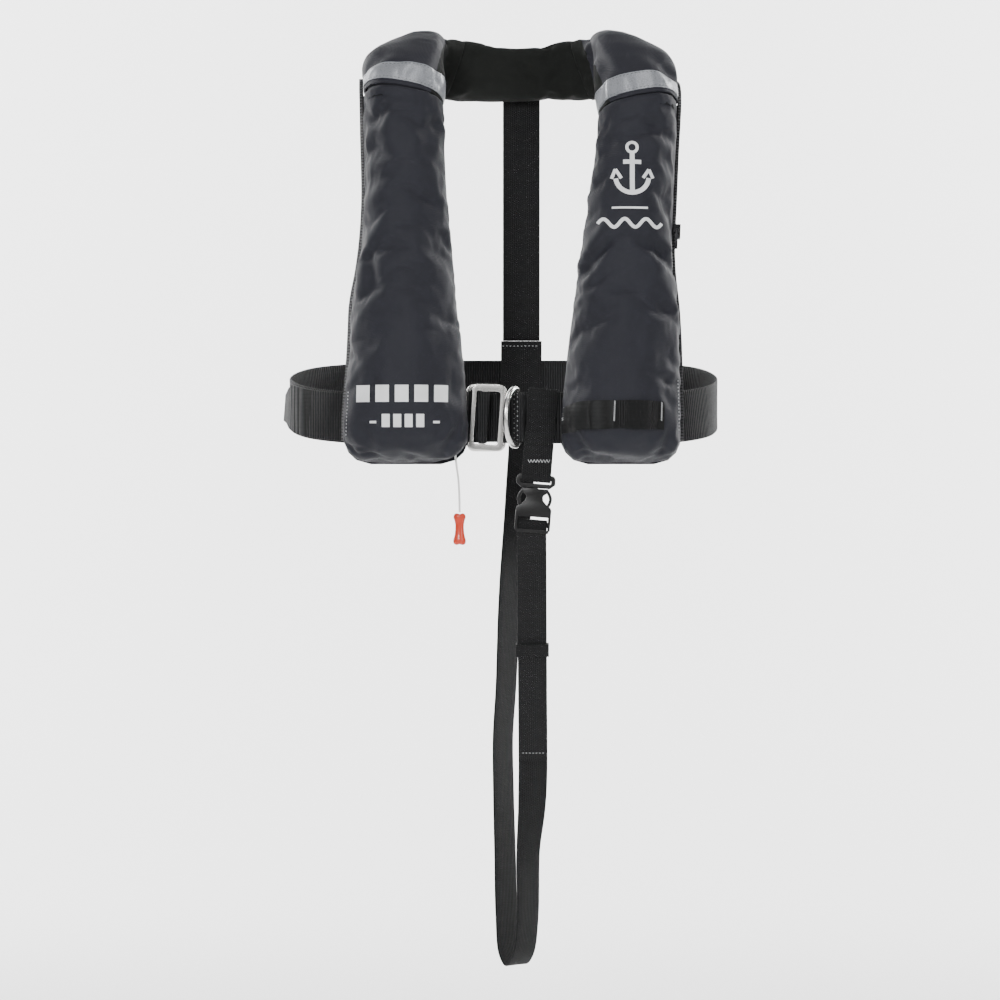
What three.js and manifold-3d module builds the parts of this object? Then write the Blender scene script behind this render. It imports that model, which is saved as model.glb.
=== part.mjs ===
// Inflatable life jacket. Millimetres, +Z up, +X to the wearer's left, +Y to the wearer's back.
// The origin is the middle of the collar's neck-side face.
import * as THREE from 'three';
import { mergeVertices } from 'three/addons/utils/BufferGeometryUtils.js';
import Module from 'manifold-3d';

const wasm = await Module();
wasm.setup();

// Driving dimensions: clearances and cloth
const GAP = 0.3;
const COVER_GAP = 1.6;
const CLOTH = 2;
const PANEL = 3;
const SQUARENESS = 2.6;

// Driving dimensions: the two lobes on the chest
const LOBE_TOP_Z = -60;
const LOBE_BOTTOM_Z = -400;
const LOBE_TOP_Y = -105;
const LEAN = THREE.MathUtils.degToRad(10.3);
const LOBE_DEPTH = 50;
const LOBE_BACK = 3.5;
const RIM = 2.3;
const CORNER_RADIUS = 26;
const END_ROUNDING = 42;
const SHOULDER_DEPTH = 37;
const SHOULDER_HALF = 40.5;

// Driving dimensions: collar
const COLLAR_HALF = 28.8;
const COLLAR_DEPTH = 13;

// Driving dimensions: webbing and hardware
const TAPE_WIDTH = 20;
const TAPE_THICK = 0.8;
const TAPE_START = 2.5;
const ZIP_WIDTH = 5;
const ZIP_THICK = 2.4;
const ZIP_GAP = 0.6;
const BELT_WIDTH = 50;
const BELT_THICK = 2;
const BELT_FRONT_Y = -147;
const BELT_FRONT_Z = -355;
const BELT_REAR_Y = 45;
const BELT_REAR_Z = -316;
const CARRIER_WIDTH = 40;
const BACK_STRAP_WIDTH = 38;
const BACK_LOOP_WIDTH = 42;
const SEWN_CLOTH = 1.9;
const FRAME_ROD = 4;
const FRAME_HEIGHT = BELT_WIDTH + 16;
const FRAME_WIDTH = 39;
const PLATE_WIDTH = 33;
const PLATE_HEIGHT = BELT_WIDTH + 14;
const PLATE_THICK = 3;
const BACKING_WIDTH = 47;
const BACKING_THICK = 1.8;
const RING_WIRE = 6;
const RING_HEIGHT = BELT_WIDTH + 12;
const RING_REACH = 32;
const STRAP_WIDTH = 28.5;
const STRAP_THICK = 1.8;
const CHAIN_TILT = THREE.MathUtils.degToRad(4.7);
const PLUG_WIDTH = 38;
const PLUG_THICK = 5;
const SOCKET_WIDTH = 34.5;
const SOCKET_DEPTH = 13;
const CYLINDER_RADIUS = 17;
const CYLINDER_LENGTH = 150;
const LEVER_LENGTH = 22;
const LEVER_ANGLE = THREE.MathUtils.degToRad(25);
const CORD_THICK = 2;
const TUBE_RADIUS = 6;
const BLADDER_INSET = 5;
const BLADDER_LIFT = 2.2;

const FABRIC = { color: 0x2e2f35, roughness: 0.75, metalness: 0 };
const COLLAR_FABRIC = { color: 0x2a2b29, roughness: 0.95, metalness: 0 };
const WEBBING = { color: 0x1b1c1e, roughness: 0.85, metalness: 0 };
const REFLECTIVE = { color: 0x9a9ea4, roughness: 0.4, metalness: 0.3 };
const PLASTIC = { color: 0x141414, roughness: 0.5, metalness: 0 };
const STEEL = { color: 0xb4b2ae, roughness: 0.25, metalness: 1 };
const BLADDER_CLOTH = { color: 0xe8d419, roughness: 0.6, metalness: 0 };
const ORANGE = { color: 0xd54d2c, roughness: 0.5, metalness: 0 };
const CORD_WHITE = { color: 0xebebe6, roughness: 0.8, metalness: 0 };
const SIGNAL_GREEN = { color: 0x3f8f4a, roughness: 0.5, metalness: 0 };

const vector = (x, y, z) => new THREE.Vector3(x, y, z);
const powered = (value, power) => Math.sign(value) * Math.abs(value) ** power;
const group = new THREE.Group();

// ---------------------------------------------------------------- geometry helpers

function signedVolume(geometry) {
  const position = geometry.attributes.position;
  const index = geometry.index;
  const corners = [vector(0, 0, 0), vector(0, 0, 0), vector(0, 0, 0)];
  let total = 0;
  for (let i = 0; i < index.count; i += 3) {
    corners.forEach((corner, k) => corner.fromBufferAttribute(position, index.getX(i + k)));
    total += corners[0].dot(corners[1].cross(corners[2])) / 6;
  }
  return total;
}

/** Welds shared vertices and turns the faces outward. */
function closed(geometry) {
  geometry.deleteAttribute('normal');
  geometry.deleteAttribute('uv');
  const welded = mergeVertices(geometry, 1e-4);
  if (signedVolume(welded) < 0) {
    const index = welded.index;
    for (let i = 0; i < index.count; i += 3) {
      const first = index.getX(i);
      index.setX(i, index.getX(i + 1));
      index.setX(i + 1, first);
    }
  }
  welded.computeVertexNormals();
  return welded;
}

/** Moves every vertex of a closed geometry to place(position, u, v). */
function warp(geometry, place) {
  const position = geometry.attributes.position;
  const uv = geometry.attributes.uv;
  for (let i = 0; i < position.count; i += 1) {
    const from = vector(0, 0, 0).fromBufferAttribute(position, i);
    const to = place(from, uv.getX(i), uv.getY(i));
    position.setXYZ(i, to.x, to.y, to.z);
  }
  return closed(geometry);
}

/** A sheet of cloth: place(across 0..1, outer or not, along 0..1). */
function sheet(across, along, place) {
  const box = new THREE.BoxGeometry(1, 1, 1, across, 1, along);
  return warp(box, (p) => place(p.x + 0.5, p.y > 0, p.z + 0.5));
}

/** A sleeve, open at both ends: place(angle, outer or not, along 0..1). */
function sleeve(around, along, place) {
  const rings = 2 * (along + 1);
  const torus = new THREE.TorusGeometry(1, 0.3, rings, around);
  return warp(torus, (p, u, v) => {
    const step = Math.round(v * rings) % rings;
    const outer = step <= along;
    const share = outer ? step / along : (2 * along + 1 - step) / along;
    return place((Math.round(u * around) % around) / around * 2 * Math.PI, outer, share);
  });
}

/** A closed bar with round sections: place(radius 0..1, angle, along 0..1). */
function loft(around, along, place) {
  const cylinder = new THREE.CylinderGeometry(1, 1, 1, around, along);
  return warp(cylinder, (p) => {
    const radius = Math.hypot(p.x, p.z) > 0.5 ? 1 : 0;
    return place(radius, Math.atan2(p.z, p.x), p.y + 0.5);
  });
}

/** A flat strip of webbing along stations of { at, wide }. */
function strip(stations, width, thick) {
  const last = stations.length - 1;
  const box = new THREE.BoxGeometry(1, 1, 1, 1, 1, last);
  return warp(box, (p) => {
    const i = Math.round((p.z + 0.5) * last);
    const before = stations[Math.max(i - 1, 0)].at;
    const after = stations[Math.min(i + 1, last)].at;
    const ahead = after.clone().sub(before).normalize();
    const wide = stations[i].wide.clone().addScaledVector(ahead, -stations[i].wide.dot(ahead)).normalize();
    const normal = ahead.clone().cross(wide);
    return stations[i].at.clone()
      .addScaledVector(wide, p.x * width)
      .addScaledVector(normal, p.y * thick);
  });
}

/** Stations along a smooth curve through a few chosen ones. */
function smooth(chosen, count) {
  const centre = new THREE.CatmullRomCurve3(chosen.map((s) => s.at), false, 'centripetal');
  const wide = new THREE.CatmullRomCurve3(chosen.map((s) => s.wide), false, 'catmullrom', 0.5);
  return Array.from({ length: count + 1 }, (unused, i) => {
    const share = i / count;
    return { at: centre.getPoint(share), wide: wide.getPoint(share).normalize() };
  });
}

/** Points on an arc in a plane, from one angle to another. */
function arcPoints(x, y, radius, from, to, count) {
  return Array.from({ length: count + 1 }, (unused, i) => {
    const angle = from + (to - from) * i / count;
    return [x + radius * Math.cos(angle), y + radius * Math.sin(angle)];
  });
}

/** A shape whose outline runs counter-clockwise, with its holes. */
function shapeOf(points, holes = []) {
  const outline = points.map(([x, y]) => new THREE.Vector2(x, y));
  const shape = new THREE.Shape(THREE.ShapeUtils.isClockWise(outline) ? outline.reverse() : outline);
  holes.forEach((hole) => {
    shape.holes.push(new THREE.Path(hole.map(([x, y]) => new THREE.Vector2(x, y))));
  });
  return shape;
}

/** A rounded rectangle as a list of points. */
function roundedBox(x0, y0, x1, y1, radius, count = 4) {
  const quarter = Math.PI / 2;
  return [
    ...arcPoints(x1 - radius, y1 - radius, radius, 0, quarter, count),
    ...arcPoints(x0 + radius, y1 - radius, radius, quarter, 2 * quarter, count),
    ...arcPoints(x0 + radius, y0 + radius, radius, 2 * quarter, 3 * quarter, count),
    ...arcPoints(x1 - radius, y0 + radius, radius, 3 * quarter, 4 * quarter, count),
  ];
}

/** A plate cut from an X-Z outline, thick along Y and centred on it. */
function plateXZ(points, holes, thick) {
  const geometry = new THREE.ExtrudeGeometry(shapeOf(points, holes), { depth: thick, bevelEnabled: false });
  geometry.translate(0, 0, -thick / 2);
  geometry.rotateX(Math.PI / 2);
  return closed(geometry);
}

/** A bar with a Y-Z outline, long along X and centred on it. */
function barYZ(points, holes, length) {
  const geometry = new THREE.ExtrudeGeometry(shapeOf(points, holes), { depth: length, bevelEnabled: false });
  geometry.translate(0, 0, -length / 2);
  geometry.rotateY(Math.PI / 2);
  geometry.rotateX(Math.PI / 2);
  return closed(geometry);
}

function block(x0, x1, y0, y1, z0, z1) {
  const geometry = new THREE.BoxGeometry(x1 - x0, y1 - y0, z1 - z0);
  geometry.translate((x0 + x1) / 2, (y0 + y1) / 2, (z0 + z1) / 2);
  return closed(geometry);
}

function toSolid(geometry) {
  const mesh = new wasm.Mesh({
    numProp: 3,
    vertProperties: Float32Array.from(geometry.attributes.position.array),
    triVerts: Uint32Array.from(geometry.index.array),
  });
  return new wasm.Manifold(mesh);
}

function toGeometry(solid) {
  const mesh = solid.getMesh();
  const geometry = new THREE.BufferGeometry();
  geometry.setAttribute('position', new THREE.BufferAttribute(mesh.vertProperties, 3));
  geometry.setIndex(new THREE.BufferAttribute(mesh.triVerts, 1));
  return closed(geometry);
}

function cut(body, ...tools) {
  return toGeometry(tools.reduce((solid, tool) => solid.subtract(toSolid(tool)), toSolid(body)));
}

function join(first, ...others) {
  return toGeometry(others.reduce((solid, other) => solid.add(toSolid(other)), toSolid(first)));
}

function add(name, geometry, look, parent = group) {
  const mesh = new THREE.Mesh(geometry, new THREE.MeshStandardMaterial(look));
  mesh.name = name;
  parent.add(mesh);
  return mesh;
}

// ---------------------------------------------------------------- the band of lobes, shoulders and collar

/** Where the lobes' seam plane lies at a height. */
function seamY(z) {
  return LOBE_TOP_Y + (z - LOBE_TOP_Z) * Math.tan(LEAN);
}

/** One station of a lobe: height, middle and half width. side is -1 for the right lobe, 1 for the left. */
function lobeStation(side, z, middle, half, depth) {
  return {
    at: vector(side * middle, seamY(z), z),
    out: vector(side, 0, 0),
    face: vector(0, -Math.cos(LEAN), Math.sin(LEAN)),
    half,
    front: depth,
    back: LOBE_BACK,
  };
}

/** The stations of one side, from the lobe's bottom to the collar's end. */
function sideStations(side, lobe, shoulder) {
  const lobeStations = lobe.map(([z, middle, half, share]) => (
    lobeStation(side, z, middle, half, LOBE_DEPTH * share)));
  const turned = (x, y, z) => vector(side * x, y, z);
  return [
    ...lobeStations,
    { at: turned(shoulder.tapeX, -100, shoulder.tapeZ), out: turned(0.98, 0, 0.2),
      face: turned(-0.09, -0.88, 0.47), half: SHOULDER_HALF, front: SHOULDER_DEPTH, back: 4.5 },
    { at: turned(112, -64, -1), out: turned(0.94, 0, -0.34),
      face: turned(0.1, -0.4, 0.91), half: SHOULDER_HALF + 2, front: 27, back: 8 },
    { at: turned(98, -20, 5), out: turned(0.75, 0.25, -0.6),
      face: turned(0.25, 0.75, 0.6), half: 36, front: 19, back: 11 },
    { at: turned(62, 5, 3), out: turned(0.3, 0.1, -0.95),
      face: turned(0.25, 0.95, 0.15), half: COLLAR_HALF + 3.5, front: COLLAR_DEPTH + 1, back: COLLAR_DEPTH },
  ];
}

const RIGHT_LOBE = [
  [LOBE_BOTTOM_Z, 109, 60, 1],
  [-362, 109, 60, 1],
  [-289, 109.5, 54.5, 1],
  [-245, 111.5, 51, 0.95],
  [-200, 109.5, 45.5, 0.9],
  [-141, 110.5, 40.5, 0.85],
  [LOBE_TOP_Z, 113.5, 39.8, 0.8],
];
const LEFT_LOBE = [
  [LOBE_BOTTOM_Z, 99, 58, 1],
  [-362, 99, 58, 1],
  [-289, 102, 54, 1],
  [-245, 104, 50, 0.95],
  [-200, 105, 45, 0.9],
  [-141, 111, 41.5, 0.85],
  [LOBE_TOP_Z - 14, 117, 39, 0.8],
];
const RIGHT_SHOULDER = { tapeX: 113, tapeZ: -36 };
const LEFT_SHOULDER = { tapeX: 118, tapeZ: -46 };

class Band {
  constructor(stations) {
    const path = (list) => new THREE.CatmullRomCurve3(list, false, 'catmullrom', 0.5);
    this.centre = path(stations.map((s) => s.at));
    this.out = path(stations.map((s) => s.out));
    this.face = path(stations.map((s) => s.face));
    this.sizes = path(stations.map((s) => vector(s.half, s.front, s.back)));
    const samples = 600;
    this.lengths = this.centre.getLengths(samples);
    this.length = this.lengths[samples];
  }

  /** The curve's own parameter at a distance along the band. */
  share(distance) {
    const wanted = THREE.MathUtils.clamp(distance, 0, this.length);
    let low = 0;
    while (low < this.lengths.length - 2 && this.lengths[low + 1] < wanted) {
      low += 1;
    }
    const step = this.lengths[low + 1] - this.lengths[low];
    return (low + (wanted - this.lengths[low]) / step) / (this.lengths.length - 1);
  }

  /** The distance along the band of the station with this number. */
  distanceOf(station) {
    const parts = this.centre.points.length - 1;
    return this.lengths[Math.round(station / parts * (this.lengths.length - 1))];
  }

  frame(distance) {
    const share = this.share(distance);
    const out = this.out.getPoint(share).normalize();
    const face = this.face.getPoint(share);
    face.addScaledVector(out, -face.dot(out)).normalize();
    const size = this.sizes.getPoint(share);
    return { at: this.centre.getPoint(share), out, face, half: size.x, front: size.y, back: size.z };
  }

  /** Half width and front depth near a rounded end, at a distance from that end. */
  rounded(frame, distance, inset) {
    const fromEnd = Math.min(distance, this.length - distance) - inset;
    const corner = Math.max(CORNER_RADIUS - Math.max(fromEnd, 0), 0);
    const half = frame.half - CORNER_RADIUS + Math.sqrt(CORNER_RADIUS ** 2 - corner ** 2);
    const lack = Math.max(1 - Math.max(fromEnd, 0) / END_ROUNDING, 0);
    const front = RIM + (frame.front - RIM) * Math.sqrt(1 - lack ** 2);
    return { half: half - inset, front: front - inset, back: frame.back - inset };
  }

  /** A point of the skin at a distance along the band and an angle round it, with an inset. */
  skin(distance, angle, inset) {
    const frame = this.frame(distance);
    const size = this.rounded(frame, distance, inset);
    const depth = Math.sin(angle) >= 0 ? size.front : size.back;
    return frame.at
      .addScaledVector(frame.out, size.half * powered(Math.cos(angle), 2 / SQUARENESS))
      .addScaledVector(frame.face, depth * powered(Math.sin(angle), 2 / SQUARENESS));
  }

  /** A point at a share of the half width plus a margin, and a height above the seam plane. */
  point(distance, share, margin, height) {
    const frame = this.frame(distance);
    const size = this.rounded(frame, distance, 0);
    return frame.at
      .addScaledVector(frame.out, size.half * share + margin)
      .addScaledVector(frame.face, height);
  }
}

const collarStation = {
  at: vector(0, COLLAR_DEPTH, 0), out: vector(0, 0, -1), face: vector(0, 1, 0),
  half: COLLAR_HALF, front: COLLAR_DEPTH, back: COLLAR_DEPTH,
};
const rightStations = sideStations(-1, RIGHT_LOBE, RIGHT_SHOULDER);
const leftStations = sideStations(1, LEFT_LOBE, LEFT_SHOULDER);
const band = new Band([...rightStations, collarStation, ...leftStations.toReversed()]);
const lastStation = rightStations.length + leftStations.length;
const tapeNumber = RIGHT_LOBE.length;
const SIDES = {
  right: {
    bottom: 0,
    top: band.distanceOf(tapeNumber) - 8,
    collar: band.distanceOf(tapeNumber + 3) - 4,
    sign: 1,
  },
  left: {
    bottom: band.length,
    top: band.distanceOf(lastStation - tapeNumber) + 8,
    collar: band.distanceOf(lastStation - tapeNumber - 3) + 4,
    sign: -1,
  },
};

/** Shares that are close together near the rounded end. */
function eased(share) {
  return share ** 1.5;
}

function lobeCover(side) {
  return sheet(20, 20, (across, outer, along) => {
    const inset = outer ? 0 : CLOTH;
    const start = side.bottom + side.sign * inset;
    const end = side.top - side.sign * COVER_GAP;
    return band.skin(start + (end - start) * eased(along), Math.PI * across, inset);
  });
}

function backPanel(side) {
  return sheet(4, 20, (across, outer, along) => {
    const distance = side.bottom + (side.top - side.bottom) * eased(along);
    return band.point(distance, 2 * across - 1, 0, outer ? -GAP : -GAP - PANEL);
  });
}

function shoulderCover(side) {
  return sleeve(24, 9, (angle, outer, along) => {
    const start = side.top;
    const end = side.collar - side.sign * GAP;
    return band.skin(start + (end - start) * along, angle, outer ? 0 : CLOTH);
  });
}

function reflectiveTape(side) {
  const first = THREE.MathUtils.degToRad(6);
  return sheet(18, 3, (across, outer, along) => {
    const distance = side.top + side.sign * (TAPE_START + TAPE_WIDTH * along);
    const angle = first + (Math.PI - 2 * first) * across;
    return band.skin(distance, angle, outer ? -2 * GAP - TAPE_THICK : -2 * GAP);
  });
}

function zipRibbon(side) {
  const low = side.bottom + side.sign * CORNER_RADIUS;
  const high = side.top + side.sign * 75;
  return sheet(1, 30, (across, outer, along) => {
    const margin = ZIP_GAP + ZIP_WIDTH * across;
    return band.point(low + (high - low) * along, 1, margin, outer ? ZIP_THICK / 2 : -ZIP_THICK / 2);
  });
}

function collarCover() {
  const start = SIDES.right.collar;
  const end = SIDES.left.collar;
  return sleeve(24, 16, (angle, outer, along) => (
    band.skin(start + (end - start) * along, angle, outer ? 0 : CLOTH)));
}

/** A group whose X-Z plane is the lobes' seam plane: y = -height above it, z = distance up from its top. */
const leaned = new THREE.Group();
leaned.position.set(0, LOBE_TOP_Y, LOBE_TOP_Z);
leaned.rotation.x = -LEAN;
group.add(leaned);
leaned.updateMatrixWorld(true);

/** A point of the leaned group in the jacket's frame. */
function fromLeaned(x, height, up) {
  return vector(x, -height, up).applyMatrix4(leaned.matrixWorld);
}

function inJacket(geometry) {
  const moved = geometry.clone();
  moved.applyMatrix4(leaned.matrixWorld);
  return closed(moved);
}

// ---------------------------------------------------------------- inflator, in the right lobe

const INFLATOR = { x0: -130, x1: -88, low: -334, high: -294, front: 25 };
const CYLINDER_X = -112;
const CYLINDER_HEIGHT_OVER_SEAM = 22;
const MANIFOLD = { x: -91, height: 16, radius: 5.5, length: 12 };
const LEVER_PIVOT = { x: -82, up: -324, height: 11 };
const LEVER_THICK = 4.6;
const LEVER_TIP = 4;
const PIN_RADIUS = 2.5;
const LUG = 3.4;
const NOTCH = { x0: -67, x1: -53, front: 14, low: -350, high: -329 };
const bladderStart = INFLATOR.high + MANIFOLD.length + 2 * GAP;

function uprightCylinder(radius, x, height, low, high, around = 24) {
  const geometry = new THREE.CylinderGeometry(radius, radius, high - low, around);
  geometry.rotateX(Math.PI / 2);
  geometry.translate(x, -height, (low + high) / 2);
  return closed(geometry);
}

function inflatorBody() {
  const { x0, x1, low, high, front } = INFLATOR;
  const half = LEVER_THICK / 2;
  const lugOutline = roundedBox(x1 - 2, LEVER_PIVOT.up - 5.5, LEVER_PIVOT.x + 5.5, LEVER_PIVOT.up + 5.5, 4);
  const pinHole = arcPoints(LEVER_PIVOT.x, LEVER_PIVOT.up, PIN_RADIUS + GAP, 0, 2 * Math.PI, 16).slice(1);
  const lug = (centre) => {
    const geometry = plateXZ(lugOutline, [pinHole], LUG);
    geometry.translate(0, -centre, 0);
    return geometry;
  };
  const casing = plateXZ(roundedBox(x0, low, x1, high, 6), [], front - 0.2);
  casing.translate(0, -(front + 0.2) / 2, 0);
  return join(
    casing,
    lug(LEVER_PIVOT.height - half - GAP - LUG / 2),
    lug(LEVER_PIVOT.height + half + GAP + LUG / 2),
  );
}

function co2Cylinder() {
  const low = INFLATOR.high + GAP;
  const profile = [
    [0, 0], [9, 0], [9, 9], [CYLINDER_RADIUS, 20], [CYLINDER_RADIUS, CYLINDER_LENGTH - 12],
    [CYLINDER_RADIUS * 0.82, CYLINDER_LENGTH - 4], [0, CYLINDER_LENGTH],
  ];
  const geometry = new THREE.LatheGeometry(profile.map(([r, z]) => new THREE.Vector2(r, z)), 24);
  geometry.rotateX(Math.PI / 2);
  geometry.translate(CYLINDER_X, -CYLINDER_HEIGHT_OVER_SEAM, low);
  return closed(geometry);
}

function cartridgeCap() {
  const length = 18;
  const geometry = new THREE.CylinderGeometry(12, 12, length, 20);
  geometry.rotateZ(Math.PI / 2);
  geometry.translate(INFLATOR.x0 - GAP - length / 2, -16, -316);
  return closed(geometry);
}

/** The lever in its own frame: pivot at the origin, tip along +X at rest angle. */
function firingLever() {
  const hole = arcPoints(0, 0, PIN_RADIUS + GAP, 0, 2 * Math.PI, 16).slice(1);
  const outline = [
    ...arcPoints(0, 0, 5, Math.PI / 2, 1.5 * Math.PI, 8),
    ...arcPoints(LEVER_LENGTH, 0, LEVER_TIP, -Math.PI / 2, Math.PI / 2, 8),
  ];
  return plateXZ(outline, [hole], LEVER_THICK);
}

function leverPin() {
  const reach = LEVER_THICK / 2 + GAP + LUG + 1;
  const geometry = new THREE.CylinderGeometry(PIN_RADIUS, PIN_RADIUS, 2 * reach, 16);
  geometry.translate(LEVER_PIVOT.x, -LEVER_PIVOT.height, LEVER_PIVOT.up);
  return closed(geometry);
}

// ---------------------------------------------------------------- oral tube and whistle, in the left lobe

const ORAL = { x: 108, height: 22, low: -200, high: -112 };
const ORAL_CAP = { radius: 8, low: -124, high: -106 };
const TRENCH = { x0: 78, x1: 118, height: 12, low: ORAL.low - GAP, high: -70 };
const WHISTLE = { x0: 78.5, x1: 91, height0: 16, height1: 30, low: -185, high: -140 };

function oralTube() {
  const tube = uprightCylinder(TUBE_RADIUS, ORAL.x, ORAL.height, ORAL.low, ORAL.high);
  return cut(tube, uprightCylinder(TUBE_RADIUS - 1.8, ORAL.x, ORAL.height, ORAL.low + 3, ORAL.high + 1));
}

function oralCap() {
  const cap = uprightCylinder(ORAL_CAP.radius, ORAL.x, ORAL.height, ORAL_CAP.low, ORAL_CAP.high);
  const bore = uprightCylinder(TUBE_RADIUS + GAP, ORAL.x, ORAL.height, ORAL_CAP.low - 1, ORAL.high + GAP);
  return cut(cap, bore);
}

function whistle() {
  const { x0, x1, height0, height1, low, high } = WHISTLE;
  const body = block(x0, x1, -height1, -height0, low, high);
  const air = block(x0 + 2, x1 - 2, -height1 + 2, -height0 - 2, low - 1, high - 4);
  return cut(body, air);
}

function bladder() {
  const start = (bladderStart - GAP - (LOBE_BOTTOM_Z - LOBE_TOP_Z) / Math.cos(LEAN));
  const end = band.length - 12;
  const air = loft(20, 56, (radius, angle, along) => {
    const distance = start + (end - start) * along;
    const frame = band.frame(distance);
    const size = band.rounded(frame, distance, BLADDER_INSET);
    const depth = Math.sin(angle) >= 0 ? size.front - BLADDER_LIFT : size.back - 1.5;
    frame.at.addScaledVector(frame.face, BLADDER_LIFT);
    const middle = frame.at.clone().addScaledVector(frame.face, (size.front - size.back) / 2);
    const rim = frame.at
      .addScaledVector(frame.out, (size.half - 3) * powered(Math.cos(angle), 2 / SQUARENESS))
      .addScaledVector(frame.face, depth * powered(Math.sin(angle), 2 / SQUARENESS));
    return radius > 0 ? rim : middle;
  });
  const cylinderPocket = uprightCylinder(
    CYLINDER_RADIUS + 1, CYLINDER_X, CYLINDER_HEIGHT_OVER_SEAM,
    INFLATOR.high - 10, INFLATOR.high + CYLINDER_LENGTH + 2);
  const trench = block(TRENCH.x0, TRENCH.x1, -90, -TRENCH.height, TRENCH.low, TRENCH.high);
  return cut(air, inJacket(cylinderPocket), inJacket(trench));
}

// ---------------------------------------------------------------- belt, carriers and back straps

function beltZ(y) {
  return BELT_FRONT_Z + (y - BELT_FRONT_Y) * (BELT_REAR_Z - BELT_FRONT_Z) / (BELT_REAR_Y - BELT_FRONT_Y);
}

const BELT_PLAN = [
  [-52.5, BELT_FRONT_Y], [-80, BELT_FRONT_Y], [-110, BELT_FRONT_Y], [-140, BELT_FRONT_Y + 0.2],
  [-170, -143], [-208, -116], [-227, -62], [-205, 0], [-140, 34], [-60, BELT_REAR_Y - 0.6],
  [-20, BELT_REAR_Y], [4, BELT_REAR_Y], [30, BELT_REAR_Y], [72, BELT_REAR_Y - 1], [135, 32], [180, 0],
  [198, -58], [186, -112], [155, -141], [125, BELT_FRONT_Y + 0.2], [100, BELT_FRONT_Y],
  [40, BELT_FRONT_Y], [10, BELT_FRONT_Y], [-8.6, BELT_FRONT_Y],
];

const beltStations = smooth(
  BELT_PLAN.map(([x, y]) => ({ at: vector(x, y, beltZ(y)), wide: vector(0, 0, 1) })), 96);

function waistBelt() {
  return strip(beltStations, BELT_WIDTH, BELT_THICK);
}

/** The belt's free end, lying on the outside of the belt and flaring away from it at the end. */
function beltTail() {
  const offset = BELT_THICK + 0.9;
  const laid = beltStations.slice(15, 26).map((station, i, list) => {
    const next = list[Math.min(i + 1, list.length - 1)].at;
    const before = list[Math.max(i - 1, 0)].at;
    const ahead = next.clone().sub(before).normalize();
    const outward = ahead.clone().cross(station.wide).normalize();
    const lift = offset + 7 * Math.max(i - 6, 0) ** 2 / 16;
    const at = station.at.clone().addScaledVector(outward, outward.x < 0 ? lift : -lift);
    return { at, wide: station.wide };
  });
  return strip(laid, BELT_WIDTH - 4, BELT_THICK);
}

/** A loop of webbing sewn to a lobe's back panel, behind the belt. */
function beltCarrier(x) {
  const behind = BELT_FRONT_Y + BELT_THICK / 2 + GAP;
  const top = BELT_FRONT_Z + BELT_WIDTH / 2 + 3;
  const bottom = BELT_FRONT_Z - BELT_WIDTH / 2 - 3;
  const panelRear = (z) => seamY(z) + (PANEL + GAP) / Math.cos(LEAN) + GAP;
  const outline = [
    [behind, bottom], [behind, top], [panelRear(top), top], [panelRear(top + 4), top + 4],
    [behind + 1.6, top + 4], [behind + 1.6, bottom - 4], [panelRear(bottom - 4), bottom - 4],
    [panelRear(bottom), bottom],
  ];
  const geometry = barYZ(outline, [], CARRIER_WIDTH);
  geometry.translate(x, 0, 0);
  return geometry;
}

const BACK_X = 4;
const LOOP_TOP = -271;
const LOOP_BOTTOM = -376;

function backStrap() {
  const behindCollar = 2 * COLLAR_DEPTH + BELT_THICK / 2 + 0.5;
  const route = [
    [behindCollar, 10], [behindCollar, -8], [behindCollar + 1, -40], [34, -110], [40, -190],
    [44, -245], [BELT_REAR_Y, LOOP_TOP + GAP],
  ];
  const chosen = route.map(([y, z]) => ({ at: vector(BACK_X, y, z), wide: vector(1, 0, 0) }));
  return strip(smooth(chosen, 24), BACK_STRAP_WIDTH, BELT_THICK);
}

/** The sewn loop that the rear of the belt runs through, open at the bottom for the crotch strap. */
function backStrapLoop() {
  const inner = BELT_THICK / 2 + 0.5;
  const outer = inner + SEWN_CLOTH;
  const beltTop = BELT_REAR_Z + BELT_WIDTH / 2 + 2;
  const outline = [
    [BELT_REAR_Y - outer, LOOP_BOTTOM], [BELT_REAR_Y - outer, LOOP_TOP], [BELT_REAR_Y + outer, LOOP_TOP],
    [BELT_REAR_Y + outer, LOOP_BOTTOM], [BELT_REAR_Y + inner, LOOP_BOTTOM], [BELT_REAR_Y + inner, beltTop],
    [BELT_REAR_Y - inner, beltTop], [BELT_REAR_Y - inner, LOOP_BOTTOM],
  ];
  const geometry = barYZ(outline, [], BACK_LOOP_WIDTH);
  geometry.translate(BACK_X, 0, 0);
  return geometry;
}

// ---------------------------------------------------------------- steel buckle and D-ring

const FRAME_Y = BELT_FRONT_Y + 2.5;
const END_THICK = 1.6;
const FRAME_X0 = -51;
const FRAME_X1 = FRAME_X0 + FRAME_WIDTH;
const PLATE_Y = FRAME_Y - FRAME_ROD / 2 - END_THICK - PLATE_THICK / 2 - 0.8;
const PLATE_X0 = -46.5;
const PLATE_TILT = THREE.MathUtils.degToRad(4);
const RING_X = -0.5;
const RING_Y = BELT_FRONT_Y - BELT_THICK / 2 - 6.2;
const RING_TURN = Math.atan2(-0.91, -0.41);

/** A closed wire along a closed outline in the X-Z plane. */
function wireLoop(outline, radius, around = 8) {
  const count = outline.length;
  const torus = new THREE.TorusGeometry(1, 0.3, around, count);
  return warp(torus, (p, u, v) => {
    const i = Math.round(u * count) % count;
    const before = outline[(i + count - 1) % count];
    const after = outline[(i + 1) % count];
    const ahead = new THREE.Vector2(after[0] - before[0], after[1] - before[1]).normalize();
    const angle = 2 * Math.PI * v;
    return vector(
      outline[i][0] + ahead.y * radius * Math.cos(angle),
      radius * Math.sin(angle),
      outline[i][1] - ahead.x * radius * Math.cos(angle));
  });
}

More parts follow.
